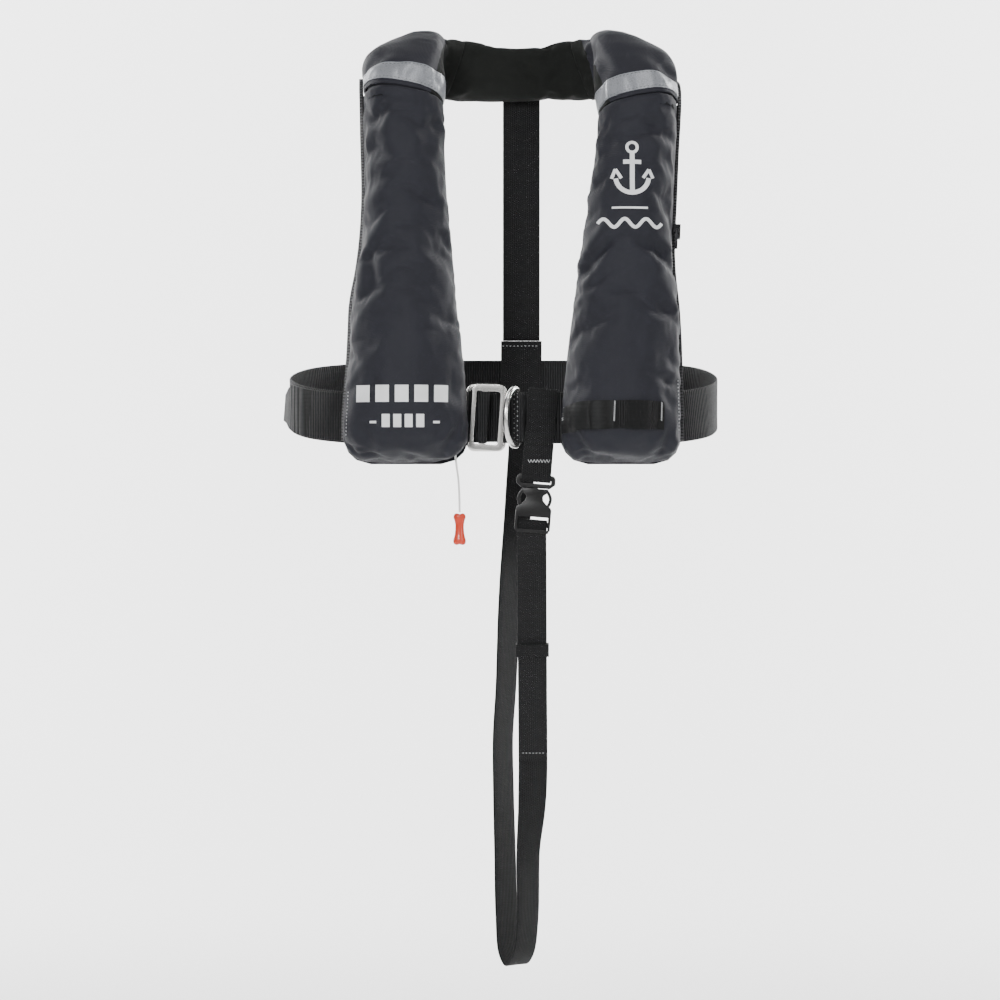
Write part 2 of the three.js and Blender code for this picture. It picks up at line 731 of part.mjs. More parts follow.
function buckleFrame() {
  const inset = FRAME_ROD / 2;
  const tall = FRAME_HEIGHT / 2 - inset;
  const outline = roundedBox(FRAME_X0 + inset, -tall, FRAME_X1 - inset, tall, 6, 5);
  const geometry = wireLoop(outline, FRAME_ROD / 2);
  geometry.translate(0, FRAME_Y, BELT_FRONT_Z);
  return geometry;
}

/** The belt's folded end round the frame's inner bar. */
function frameWebbing() {
  const bar = FRAME_X1 - FRAME_ROD / 2;
  const radius = (FRAME_ROD + END_THICK) / 2 + GAP;
  const front = [[-7.4, BELT_FRONT_Y - 2.1], [-9, BELT_FRONT_Y - 2]];
  const round = arcPoints(bar, FRAME_Y, radius, -Math.PI * 0.38, -Math.PI * 1.75, 10);
  const rear = [[-9, BELT_FRONT_Y + 2.2], [-7.4, BELT_FRONT_Y + 2.2]];
  const stations = [...front, ...round, ...rear].map(([x, y]) => (
    { at: vector(x, y, BELT_FRONT_Z), wide: vector(0, 0, 1) }));
  return strip(stations, BELT_WIDTH - 1, END_THICK);
}

/** The flap of webbing that lies behind the buckle, sewn to the belt's left half. */
function buckleBacking() {
  const sewn = BELT_FRONT_Y + BELT_THICK / 2 + GAP + BACKING_THICK / 2;
  const behind = FRAME_Y + FRAME_ROD / 2 + END_THICK + 2 * GAP + BACKING_THICK / 2;
  const plan = [
    [2.5, sewn], [-1, sewn], [-5, sewn + 1.4], [-9, behind - 1.2], [-13, behind],
    [-30, behind], [FRAME_X0 + 1, behind],
  ];
  const stations = plan.map(([x, y]) => ({ at: vector(x, y, BELT_FRONT_Z), wide: vector(0, 0, 1) }));
  return strip(stations, BACKING_WIDTH, BACKING_THICK);
}

/** The pass-through plate, with its own origin at the middle. */
function bucklePlate() {
  const w = PLATE_WIDTH / 2;
  const h = PLATE_HEIGHT / 2;
  const slot = roundedBox(-w + 14.1, -h + 6, w - 5.5, h - 6, 3);
  const rearSlot = roundedBox(-w + 4.2, -h + 6, -w + 9.6, h - 6, 2);
  return plateXZ(roundedBox(-w, -h, w, h, 5, 6), [slot, rearSlot], PLATE_THICK);
}

/** The short webbing that ties the plate to the right half of the belt. */
function beltRightEnd() {
  const barX = -PLATE_WIDTH / 2 + 11.85;
  const radius = (PLATE_THICK + END_THICK) / 2 + 0.4;
  const rear = [[-PLATE_WIDTH / 2 - 3.9, radius], [-PLATE_WIDTH / 2 + 4, radius]];
  const round = arcPoints(barX + 1.8, 0, radius, Math.PI / 2, -Math.PI / 2, 10);
  const tucked = arcPoints(barX - 1.7, 0, radius, -Math.PI / 2, -Math.PI * 0.85, 3);
  const stations = [...rear, ...round, ...tucked].map(([x, y]) => (
    { at: vector(x, y, 0), wide: vector(0, 0, 1) }));
  return strip(stations, BELT_WIDTH, END_THICK);
}

/** The D-ring about its bar on the Z axis, its bow along +X. */
function dRing() {
  const half = RING_HEIGHT / 2 - RING_WIRE / 2;
  const reach = RING_REACH - RING_WIRE / 2;
  const bow = Array.from({ length: 17 }, (unused, i) => {
    const angle = -Math.PI / 2 + Math.PI * i / 16;
    return [4 + (reach - 4) * powered(Math.cos(angle), 0.85), half * Math.sin(angle)];
  });
  const bar = [[0, half - 5], [0, half / 2], [0, 0], [0, -half / 2], [0, -half + 5]];
  return wireLoop([...bow, ...bar], RING_WIRE / 2);
}

/** The webbing that holds the D-ring's bar on the belt. */
function ringWebbing() {
  const radius = RING_WIRE / 2 + GAP + SEWN_CLOTH / 2 + 0.15;
  const tail = BELT_FRONT_Y - BELT_THICK / 2 - GAP - SEWN_CLOTH / 2;
  const round = arcPoints(RING_X, RING_Y, radius, Math.PI * 0.42, Math.PI * 1.9, 14);
  const last = [[RING_X + 5.6, RING_Y + 1.6]];
  const stations = [[44, tail], [26, tail], [10, tail], ...round, ...last].map(([x, y]) => (
    { at: vector(x, y, BELT_FRONT_Z), wide: vector(0, 0, 1) }));
  return strip(stations, BELT_WIDTH - 4, SEWN_CLOTH);
}

// ---------------------------------------------------------------- crotch strap and its release buckle

const chain = new THREE.Group();
chain.position.set(22, 0, BELT_FRONT_Z);
chain.rotation.y = CHAIN_TILT;
group.add(chain);
const coupling = new THREE.Group();
const PLUG_TOP = -55.7;
const PLUG_Y = BELT_FRONT_Y - 1.2;
coupling.position.set(0, PLUG_Y, PLUG_TOP);
chain.add(coupling);
chain.updateMatrixWorld(true);

const PLUG_BAR = { low: -4.9, high: -0.3 };
const PLUG_SLOT = -8.6;
const PLUG_BOTTOM = -13;
const ARM_HINGE = { u: 10.5, v: -13.9 };
const CAVITY_HALF = 3.6;
const BODY_TOP = -31.5;
const SLOT_TOP = -41;
const MID_BAR = { high: -45.6, low: -51, half: 2.5 };
const BOTTOM_BAR = { high: -53.4, low: -56.5, thick: 1.6 };

/** The loop of webbing over the belt, with an eye round the plug's bar. */
function crotchUpperLoop() {
  const centre = PLUG_Y;
  const eyeHalf = PLUG_THICK / 2 + GAP;
  const eyeTop = PLUG_TOP + PLUG_BAR.high + GAP;
  const eyeLow = PLUG_TOP + PLUG_BAR.low - GAP;
  const front = BELT_FRONT_Y - BELT_THICK / 2 - SEWN_CLOTH - 3 * GAP;
  const rear = BELT_FRONT_Y + BELT_THICK / 2 + 2 * GAP;
  const top = BELT_WIDTH / 2 + 1.6;
  const outline = [
    [front - SEWN_CLOTH, -BELT_WIDTH / 2 - 3], [front - SEWN_CLOTH, top],
    [front - SEWN_CLOTH + 1.5, top + SEWN_CLOTH], [rear + SEWN_CLOTH - 1.5, top + SEWN_CLOTH],
    [rear + SEWN_CLOTH, top], [rear + SEWN_CLOTH, -BELT_WIDTH / 2 - 3], [centre + SEWN_CLOTH, -41],
    [centre + SEWN_CLOTH, eyeTop + 4], [centre + eyeHalf + SEWN_CLOTH, eyeTop - 1],
    [centre + eyeHalf + SEWN_CLOTH, eyeLow + 0.5], [centre + eyeHalf, eyeLow - SEWN_CLOTH],
    [centre - eyeHalf, eyeLow - SEWN_CLOTH], [centre - eyeHalf - SEWN_CLOTH, eyeLow + 0.5],
    [centre - eyeHalf - SEWN_CLOTH, eyeTop - 1], [centre - SEWN_CLOTH, eyeTop + 4],
    [centre - SEWN_CLOTH, -41],
  ];
  const beltHole = [
    [front, -BELT_WIDTH / 2 - 2], [front, top], [rear, top], [rear, -BELT_WIDTH / 2 - 2],
    [centre, -BELT_WIDTH / 2 - 9],
  ];
  const eye = [
    [centre - eyeHalf, eyeLow], [centre - eyeHalf, eyeTop],
    [centre + eyeHalf, eyeTop], [centre + eyeHalf, eyeLow],
  ];
  return barYZ(outline, [beltHole, eye], STRAP_WIDTH);
}

function bucklePlug() {
  const w = PLUG_WIDTH / 2;
  const slotHalf = STRAP_WIDTH / 2 + 0.6;
  const outline = [
    ...arcPoints(w - 4, -4, 4, 0, Math.PI / 2, 4), ...arcPoints(-w + 4, -4, 4, Math.PI / 2, Math.PI, 4),
    [-w, -9], [-w + 5, PLUG_BOTTOM], [-2.5, PLUG_BOTTOM], [-2.5, -33], [-1.2, -34], [1.2, -34], [2.5, -33],
    [2.5, PLUG_BOTTOM], [w - 5, PLUG_BOTTOM], [w, -9],
  ];
  const slot = roundedBox(-slotHalf, PLUG_SLOT, slotHalf, PLUG_BAR.low, 0.8, 2);
  return plateXZ(outline, [slot], PLUG_THICK);
}

/** One springy arm of the plug, on the side given by its sign, with its own origin at its root. */
function plugArm(side) {
  const route = [[0, 0], [3, -3.4], [5.1, -8.6], [4.1, -13.6], [2.2, -17.2], [1.2, -21.4]];
  const chosen = route.map(([u, v]) => ({ at: vector(side * u, 0, v), wide: vector(0, 1, 0) }));
  return strip(smooth(chosen, 16), 5.6, 3);
}

function buckleSocket() {
  const w = SOCKET_WIDTH / 2;
  const railInner = STRAP_WIDTH / 2 + 0.6;
  const bottom = BOTTOM_BAR.low;
  const top = PLUG_BOTTOM - GAP - 0.2;
  const outline = [
    [13, top], [12.4, -17], [8.4, -20], [8, -22], [8.6, -25], [13, BODY_TOP + 2], [w - 1, BODY_TOP],
    [w, BODY_TOP - 2], [w, bottom + 3], [w - 3, bottom], [-w + 3, bottom], [-w, bottom + 3],
    [-w, BODY_TOP - 2], [-w + 1, BODY_TOP], [-13, BODY_TOP + 2], [-8.6, -25], [-8, -22], [-8.4, -20],
    [-12.4, -17], [-13, top],
  ];
  const half = SOCKET_DEPTH / 2;
  return join(
    cut(
      plateXZ(outline, [], SOCKET_DEPTH),
      block(-30, 30, -CAVITY_HALF, CAVITY_HALF, BODY_TOP + 0.4, top + 5),
      block(-14.8, 14.8, -CAVITY_HALF, CAVITY_HALF, -37, BODY_TOP + 1),
      block(-railInner, railInner, -half - 1, half + 1, bottom - 1, SLOT_TOP),
    ),
    block(-railInner - 1, railInner + 1, -MID_BAR.half, MID_BAR.half, MID_BAR.low, MID_BAR.high),
    block(-railInner - 1, railInner + 1, -half, -half + BOTTOM_BAR.thick, bottom, BOTTOM_BAR.high),
  );
}

const WRAP_RADIUS = MID_BAR.half + GAP + STRAP_THICK / 2;
const STRAP_START = vector(0, WRAP_RADIUS - 0.2, -55.9).applyMatrix4(coupling.matrixWorld);
const STRAP_FRONT_END = vector(14.6, -96, -700);
const STRAP_RUN = STRAP_FRONT_END.clone().sub(STRAP_START).normalize();
const STRAP_FORWARD = STRAP_RUN.clone().cross(vector(1, 0, 0)).normalize();
const TAIL_OFFSET = STRAP_THICK + 0.6;
const TAIL_LENGTH = 231;
const KEEPER_AT = 118;
const KEEPER_HEIGHT = 12.5;
const KEEPER_WALL = 1.6;

function crotchStrap() {
  const route = [
    [STRAP_START, [1, 0, 0]], [STRAP_START.clone().addScaledVector(STRAP_RUN, 80), [1, 0, 0]],
    [STRAP_START.clone().addScaledVector(STRAP_RUN, 160), [1, 0, 0]], [STRAP_FRONT_END, [1, 0, 0]],
    [vector(13.4, -89, -742), [0.95, 0.3, 0]], [vector(10, -80, -785), [0.82, 0.57, 0]],
    [vector(9.5, -73, -850), [0.77, 0.64, 0]], [vector(5, -67, -888), [0.77, 0.64, 0]],
    [vector(-2, -60, -899), [0.77, 0.64, 0]], [vector(-8.5, -53, -888), [0.77, 0.64, 0]],
    [vector(-11.5, -48, -850), [0.77, 0.64, 0]], [vector(-13, -40, -788), [0.75, 0.66, 0]],
    [vector(-14.5, -28, -728), [0.72, 0.69, 0]], [vector(-15, -14, -676), [0.7, 0.71, 0]],
    [vector(-12, -2, -626), [0.72, 0.69, 0]], [vector(-8, 14, -537), [0.8, 0.6, 0]],
    [vector(0, 34, -450), [0.95, 0.3, 0]], [vector(4, 44, -397), [1, 0, 0]],
    [vector(BACK_X + 1, BELT_REAR_Y, -379), [1, 0, 0]], [vector(BACK_X + 1, BELT_REAR_Y, -362), [1, 0, 0]],
    [vector(BACK_X + 1, BELT_REAR_Y, BELT_REAR_Z - BELT_WIDTH / 2 - 2), [1, 0, 0]],
  ];
  const chosen = route.map(([at, wide]) => ({ at, wide: vector(...wide) }));
  return strip(smooth(chosen, 76), STRAP_WIDTH, STRAP_THICK);
}

function strapTail() {
  const tilted = vector(Math.cos(CHAIN_TILT), 0, -Math.sin(CHAIN_TILT));
  const local = (y, v) => ({ at: vector(0, y, v).applyMatrix4(coupling.matrixWorld), wide: tilted.clone() });
  const middle = MID_BAR.half - 0.6;
  const wrap = [
    local(WRAP_RADIUS, -53.8), local(WRAP_RADIUS, -51), local(WRAP_RADIUS, -47.6),
    ...arcPoints(middle, MID_BAR.high - 0.6, WRAP_RADIUS - middle, 0.25, Math.PI / 2, 3)
      .map(([y, v]) => local(y, v)),
    ...arcPoints(-middle, MID_BAR.high - 0.6, WRAP_RADIUS - middle, Math.PI / 2, Math.PI - 0.25, 3)
      .map(([y, v]) => local(y, v)),
    local(-WRAP_RADIUS, -47.6), local(-WRAP_RADIUS, -51), local(-WRAP_RADIUS, -56.8),
  ];
  const hanging = [22, 50, 80, 118, 160, TAIL_LENGTH].map((distance) => ({
    at: STRAP_START.clone().addScaledVector(STRAP_RUN, distance)
      .addScaledVector(STRAP_FORWARD, TAIL_OFFSET),
    wide: vector(1, 0, 0),
  }));
  return strip([...wrap, ...hanging], STRAP_WIDTH, STRAP_THICK);
}

/** A sliding loop round the strap and its tail, at its own origin. */
function strapKeeper() {
  const w = STRAP_WIDTH / 2 + 0.45;
  const t = (STRAP_THICK + TAIL_OFFSET) / 2 + 0.4;
  const h = KEEPER_HEIGHT / 2;
  const body = block(-w - KEEPER_WALL, w + KEEPER_WALL, -t - KEEPER_WALL, t + KEEPER_WALL, -h, h);
  return cut(body, block(-w, w, -t, t, -h - 1, h + 1));
}

// ---------------------------------------------------------------- pull cord and toggle

const LEVER_TIP_AT = fromLeaned(
  LEVER_PIVOT.x + LEVER_LENGTH * Math.cos(LEVER_ANGLE), LEVER_PIVOT.height,
  LEVER_PIVOT.up + LEVER_LENGTH * Math.sin(LEVER_ANGLE));
const CORD_TOP = LEVER_TIP_AT.clone().add(vector(0, 0, -LEVER_TIP / Math.cos(LEAN) - 1.1));
const CORD_ROUTE = [
  CORD_TOP, vector(CORD_TOP.x, CORD_TOP.y, -382), vector(-60.6, -172.8, -397),
  vector(-58.2, -172.6, -415), vector(-57.2, -172.3, -432), vector(-57, -172, -446.9),
];
const TOGGLE_HEIGHT = 32;

function pullCord() {
  const curve = new THREE.CatmullRomCurve3(CORD_ROUTE, false, 'centripetal');
  const section = shapeOf(arcPoints(0, 0, CORD_THICK / 2, 0, 2 * Math.PI, 8).slice(1));
  return closed(new THREE.ExtrudeGeometry(section, { steps: 20, extrudePath: curve, bevelEnabled: false }));
}

/** A bone-shaped handle, at its own origin at its top end. */
function pullToggle() {
  const profile = [
    [0, 0], [3.6, 0], [5.6, -1.6], [6.2, -5], [5.2, -9], [4.4, -14], [4.6, -20], [5.6, -25],
    [6.3, -28.5], [5.4, -31], [0, -TOGGLE_HEIGHT],
  ];
  const lathe = new THREE.LatheGeometry(profile.map(([r, z]) => new THREE.Vector2(r, z)), 16);
  return warp(lathe, (p) => vector(p.x, p.z * 0.75, p.y));
}

// ---------------------------------------------------------------- the small pieces on the covers

function accessoryStrip() {
  const low = band.length - 21;
  const width = 26;
  return sheet(16, 3, (across, outer, along) => {
    const distance = low - width * along;
    const angle = THREE.MathUtils.degToRad(14) + THREE.MathUtils.degToRad(152) * across;
    return band.skin(distance, angle, outer ? -GAP - 1.6 : -GAP);
  });
}

const SLIDER_AT = band.length - 232;

function zipSlider() {
  const frame = band.frame(SLIDER_AT);
  const inner = 0.9;
  const reach = ZIP_WIDTH + 1.4;
  const leaf = ZIP_THICK / 2 + 0.5;
  const wall = 1.5;
  const long = 7;
  const body = cut(
    block(inner, reach + wall, -leaf - wall, leaf + wall, -long, long),
    block(inner - 1, reach, -leaf, leaf, -long - 1, long + 1),
  );
  const lug = (at) => block(at - 0.7, at + 0.7, -leaf - wall - 3.2, -leaf - wall + 0.2, -2, 2);
  const pin = new THREE.CylinderGeometry(0.7, 0.7, 5, 10);
  pin.rotateZ(Math.PI / 2);
  pin.translate(4.2, -leaf - wall - 2, 0);
  const geometry = join(body, lug(2), lug(6.4), closed(pin));
  return { geometry, frame, pinHeight: leaf + wall + 2 };
}

/** The slider's pull tab, hanging from its own origin. */
function zipPull() {
  const hole = arcPoints(0, 0, 1, 0, 2 * Math.PI, 10).slice(1);
  const outline = [
    ...arcPoints(0, 0, 1.9, Math.PI * 0.1, Math.PI * 0.9, 6),
    ...arcPoints(0.6, -17, 1.6, Math.PI, 2 * Math.PI, 6),
  ];
  return barYZ(outline, [hole], 2.4);
}

// ---------------------------------------------------------------- assembly

add('right_back_panel', backPanel(SIDES.right), FABRIC);
add('left_back_panel', backPanel(SIDES.left), FABRIC);
const cordNotch = inJacket(block(NOTCH.x0, NOTCH.x1, -NOTCH.front, 2, NOTCH.low, NOTCH.high));
add('right_lobe_cover', cut(lobeCover(SIDES.right), cordNotch), FABRIC);
add('left_lobe_cover', lobeCover(SIDES.left), FABRIC);
add('right_shoulder_cover', shoulderCover(SIDES.right), FABRIC);
add('left_shoulder_cover', shoulderCover(SIDES.left), FABRIC);
add('collar_cover', collarCover(), COLLAR_FABRIC);
add('right_reflective_tape', reflectiveTape(SIDES.right), REFLECTIVE);
add('left_reflective_tape', reflectiveTape(SIDES.left), REFLECTIVE);
add('right_zip', zipRibbon(SIDES.right), PLASTIC);
add('left_zip', zipRibbon(SIDES.left), PLASTIC);
add('accessory_strip', accessoryStrip(), WEBBING);

add('bladder', bladder(), BLADDER_CLOTH);
add('inflator_body', inflatorBody(), PLASTIC, leaned);
add('co2_cylinder', co2Cylinder(), STEEL, leaned);
add('auto_cartridge_cap', cartridgeCap(), SIGNAL_GREEN, leaned);
const manifold = uprightCylinder(
  MANIFOLD.radius, MANIFOLD.x, MANIFOLD.height, INFLATOR.high + GAP, INFLATOR.high + MANIFOLD.length);
add('inflator_manifold', manifold, PLASTIC, leaned);
add('lever_pin', leverPin(), STEEL, leaned);
const lever = add('firing_lever', firingLever(), ORANGE, leaned);
lever.position.set(LEVER_PIVOT.x, -LEVER_PIVOT.height, LEVER_PIVOT.up);
lever.rotation.y = -LEVER_ANGLE;
add('oral_tube', oralTube(), PLASTIC, leaned);
add('oral_tube_cap', oralCap(), PLASTIC, leaned);
add('whistle', whistle(), ORANGE, leaned);
add('pull_cord', pullCord(), CORD_WHITE);
const toggle = add('pull_toggle', pullToggle(), ORANGE);
toggle.position.copy(CORD_ROUTE.at(-1)).add(vector(0, 0, -GAP));

add('waist_belt', waistBelt(), WEBBING);
add('belt_tail', beltTail(), WEBBING);
add('right_belt_carrier', beltCarrier(-110), WEBBING);
add('left_belt_carrier', beltCarrier(100), WEBBING);
add('back_strap', backStrap(), WEBBING);
add('back_strap_loop', backStrapLoop(), WEBBING);

add('buckle_frame', buckleFrame(), STEEL);
add('frame_webbing', frameWebbing(), WEBBING);
add('buckle_backing', buckleBacking(), WEBBING);
const plateGroup = new THREE.Group();
plateGroup.position.set(PLATE_X0 + PLATE_WIDTH / 2, PLATE_Y, BELT_FRONT_Z);
plateGroup.rotation.y = PLATE_TILT;
group.add(plateGroup);
add('buckle_plate', bucklePlate(), STEEL, plateGroup);
add('belt_right_end', beltRightEnd(), WEBBING, plateGroup);
const ring = add('d_ring', dRing(), STEEL);
ring.position.set(RING_X, RING_Y, BELT_FRONT_Z);
ring.rotation.z = RING_TURN;
add('ring_webbing', ringWebbing(), WEBBING);

add('crotch_upper_loop', crotchUpperLoop(), WEBBING, chain);
add('buckle_plug', bucklePlug(), PLASTIC, coupling);
for (const [name, side] of [['plug_right_arm', -1], ['plug_left_arm', 1]]) {
  const arm = add(name, plugArm(side), PLASTIC, coupling);
  arm.position.set(side * ARM_HINGE.u, 0, ARM_HINGE.v - GAP);
}
add('buckle_socket', buckleSocket(), PLASTIC, coupling);
add('crotch_strap', crotchStrap(), WEBBING);
add('strap_tail', strapTail(), WEBBING);
const keeper = add('strap_keeper', strapKeeper(), WEBBING);
keeper.position.copy(STRAP_START).addScaledVector(STRAP_RUN, KEEPER_AT)
  .addScaledVector(STRAP_FORWARD, TAIL_OFFSET / 2);
keeper.quaternion.setFromUnitVectors(vector(0, 0, -1), STRAP_RUN);

const slider = zipSlider();
const sliderGroup = new THREE.Group();
const edge = band.point(SLIDER_AT, 1, 0, 0);
sliderGroup.position.copy(edge);
const up = band.point(SLIDER_AT - 10, 1, 0, 0).sub(band.point(SLIDER_AT + 10, 1, 0, 0)).normalize();
const side = slider.frame.out.clone().addScaledVector(up, -slider.frame.out.dot(up)).normalize();
sliderGroup.quaternion.setFromRotationMatrix(
  new THREE.Matrix4().makeBasis(side, up.clone().cross(side), up));
group.add(sliderGroup);
add('zip_slider', slider.geometry, STEEL, sliderGroup);
const pull = add('zip_pull', zipPull(), STEEL, sliderGroup);
pull.position.set(4.2, -slider.pinHeight, 0);

export default group;
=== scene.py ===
"""Inflatable life jacket: the looks of its cloth, webbing, buckles and hardware."""

import math

import bmesh
import bpy
from mathutils import Euler, Matrix, Vector, noise
from mathutils.bvhtree import BVHTree


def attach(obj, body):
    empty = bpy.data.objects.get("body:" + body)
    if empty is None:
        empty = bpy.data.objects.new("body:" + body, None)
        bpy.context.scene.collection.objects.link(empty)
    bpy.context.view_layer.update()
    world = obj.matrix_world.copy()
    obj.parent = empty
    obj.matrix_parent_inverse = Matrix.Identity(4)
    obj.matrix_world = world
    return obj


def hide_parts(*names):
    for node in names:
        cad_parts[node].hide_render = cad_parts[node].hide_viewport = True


bl_info = {
    "name": "Inflatable life jacket",
    "version": (1, 0, 0),
    "blender": (4, 5, 0),
    "location": "View3D > Sidebar > Life jacket",
    "description": "Builds the cloth, webbing and hardware of an inflatable life jacket",
    "category": "Object",
}

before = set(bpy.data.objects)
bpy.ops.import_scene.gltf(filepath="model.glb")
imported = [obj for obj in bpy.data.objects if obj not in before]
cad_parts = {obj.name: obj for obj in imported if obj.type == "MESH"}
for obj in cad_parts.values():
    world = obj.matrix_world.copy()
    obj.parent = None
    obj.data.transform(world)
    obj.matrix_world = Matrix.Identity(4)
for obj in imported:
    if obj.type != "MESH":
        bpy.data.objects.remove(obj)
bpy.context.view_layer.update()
MM = 0.001

# The lobes' seam plane: it leans forward towards the bottom.
LEAN = math.radians(10.3)
SEAM_POINT = Vector((0, -0.105, -0.060))
SEAM_FACE = Vector((0, -math.cos(LEAN), math.sin(LEAN)))


# ------------------------------------------------------------------ settings

class JacketSizes(bpy.types.PropertyGroup):
    """Sizes that change the soft pieces' detail"""

    voxel: bpy.props.FloatProperty(
        name="Voxel", description="Size of the cloth's grid before simulation", default=0.005, unit="LENGTH")
    pressure: bpy.props.FloatProperty(
        name="Pressure", description="Pressure that fills the lobes in the simulation", default=4.0)
    swell: bpy.props.FloatProperty(
        name="Most swell", description="How far the cloth may move out in the simulation", default=0.006,
        unit="LENGTH")
    cloth_wall: bpy.props.FloatProperty(
        name="Cloth wall", description="Thickness of the covers' cloth", default=0.0014, unit="LENGTH")
    stitch_length: bpy.props.FloatProperty(
        name="Stitch length", description="Length of one stitch", default=0.0032, unit="LENGTH")
    tooth_pitch: bpy.props.FloatProperty(
        name="Tooth pitch", description="Distance from one zip tooth to the next", default=0.0031,
        unit="LENGTH")


class JacketColours(bpy.types.PropertyGroup):
    """Colours of the finishes"""

    cover: bpy.props.FloatVectorProperty(
        name="Cover cloth", description="Woven nylon of the lobes and shoulders", subtype="COLOR",
        default=(0.0185, 0.0190, 0.0250))
    collar: bpy.props.FloatVectorProperty(
        name="Collar cloth", description="Matte cloth of the collar", subtype="COLOR",
        default=(0.0095, 0.0105, 0.0095))
    webbing: bpy.props.FloatVectorProperty(
        name="Webbing", description="Belt and straps", subtype="COLOR", default=(0.0055, 0.0058, 0.0062))
    tape: bpy.props.FloatVectorProperty(
        name="Reflective tape", description="Silver tape over the shoulders", subtype="COLOR",
        default=(0.24, 0.25, 0.27))
    toggle: bpy.props.FloatVectorProperty(
        name="Toggle", description="Pull toggle and firing lever", subtype="COLOR",
        default=(0.60, 0.035, 0.008))
    steel: bpy.props.FloatVectorProperty(
        name="Steel", description="Buckle and ring", subtype="COLOR", default=(0.80, 0.79, 0.77))
    bladder: bpy.props.FloatVectorProperty(
        name="Bladder", description="Folded air chamber", subtype="COLOR", default=(0.85, 0.62, 0.02))


# ------------------------------------------------------------------ shader groups and materials

def new_group(name, inputs, outputs):
    group = bpy.data.node_groups.new(name, "ShaderNodeTree")
    for label, kind, default in inputs:
        socket = group.interface.new_socket(label, in_out="INPUT", socket_type=kind)
        if default is not None:
            socket.default_value = default
    for label, kind in outputs:
        group.interface.new_socket(label, in_out="OUTPUT", socket_type=kind)
    return group, group.nodes.new("NodeGroupInput"), group.nodes.new("NodeGroupOutput")


def math_node(tree, operation, first, second=None, third=None):
    node = tree.nodes.new("ShaderNodeMath")
    node.operation = operation
    for socket, value in zip(node.inputs, (first, second, third)):
        if value is None:
            continue
        if isinstance(value, (int, float)):
            socket.default_value = value
        else:
            tree.links.new(value, socket)
    return node.outputs[0]


def weave_group():
    """Threads seen as rows across the second coordinate, with lanes along it that may be out of step."""
    group, start, end = new_group(
        "Weave",
        [("Vector", "NodeSocketVector", None), ("Lane", "NodeSocketFloat", 0.0016),
         ("Row", "NodeSocketFloat", 0.0022), ("Stagger", "NodeSocketFloat", 0.5),
         ("Lane Depth", "NodeSocketFloat", 0.5)],
        [("Height", "NodeSocketFloat")])
    split = group.nodes.new("ShaderNodeSeparateXYZ")
    group.links.new(start.outputs["Vector"], split.inputs[0])
    lane = math_node(group, "DIVIDE", split.outputs["X"], start.outputs["Lane"])
    row = math_node(group, "DIVIDE", split.outputs["Y"], start.outputs["Row"])
    step = math_node(group, "MULTIPLY", math_node(group, "FLOOR", lane), start.outputs["Stagger"])
    shifted = math_node(group, "MULTIPLY", math_node(group, "ADD", row, step), math.pi)
    wave = math_node(group, "ABSOLUTE", math_node(group, "SINE", shifted))
    across = math_node(group, "ABSOLUTE",
                       math_node(group, "SINE", math_node(group, "MULTIPLY", lane, math.pi)))
    rest = math_node(group, "SUBTRACT", 1.0, start.outputs["Lane Depth"])
    height = math_node(group, "MULTIPLY_ADD", across, start.outputs["Lane Depth"],
                       math_node(group, "MULTIPLY", wave, rest))
    group.links.new(height, end.inputs["Height"])
    return group


def wear_group():
    """Soft large-scale variation with fine specks, for dust, handling and uneven dye."""
    group, start, end = new_group(
        "Handling",
        [("Vector", "NodeSocketVector", None), ("Patch Scale", "NodeSocketFloat", 18.0),
         ("Speck Scale", "NodeSocketFloat", 600.0)],
        [("Patch", "NodeSocketFloat"), ("Speck", "NodeSocketFloat")])
    for label, detail in (("Patch", 4.0), ("Speck", 2.0)):
        texture = group.nodes.new("ShaderNodeTexNoise")
        texture.inputs["Detail"].default_value = detail
        group.links.new(start.outputs["Vector"], texture.inputs["Vector"])
        group.links.new(start.outputs[label + " Scale"], texture.inputs["Scale"])
        group.links.new(texture.outputs["Fac"], end.inputs[label])
    return group


def node_group(name, maker):
    return bpy.data.node_groups.get(name) or maker()


def group_node(material, name, maker, vector, **values):
    node = material.node_tree.nodes.new("ShaderNodeGroup")
    node.node_tree = node_group(name, maker)
    material.node_tree.links.new(vector, node.inputs["Vector"])
    for label, value in values.items():
        node.inputs[label.replace("_", " ")].default_value = value
    return node


def blank_material(name, roughness, metallic=0.0):
    material = bpy.data.materials.new(name)
    material.use_nodes = True
    shader = material.node_tree.nodes["Principled BSDF"]
    shader.inputs["Roughness"].default_value = roughness
    shader.inputs["Metallic"].default_value = metallic
    coordinates = material.node_tree.nodes.new("ShaderNodeTexCoord")
    return material, shader, coordinates


def mixed_colour(material, low, high, factor, shader):
    mix = material.node_tree.nodes.new("ShaderNodeMix")
    mix.data_type = "RGBA"
    mix.inputs["A"].default_value = (*low, 1)
    mix.inputs["B"].default_value = (*high, 1)
    material.node_tree.links.new(factor, mix.inputs["Factor"])
    material.node_tree.links.new(mix.outputs["Result"], shader.inputs["Base Color"])
    return mix


def bumped(material, shader, height, distance, strength=1.0):
    bump = material.node_tree.nodes.new("ShaderNodeBump")
    bump.inputs["Distance"].default_value = distance
    bump.inputs["Strength"].default_value = strength
    material.node_tree.links.new(height, bump.inputs["Height"])
    material.node_tree.links.new(bump.outputs["Normal"], shader.inputs["Normal"])


def shaded(colour, factor):
    return tuple(min(channel * factor, 1.0) for channel in colour)


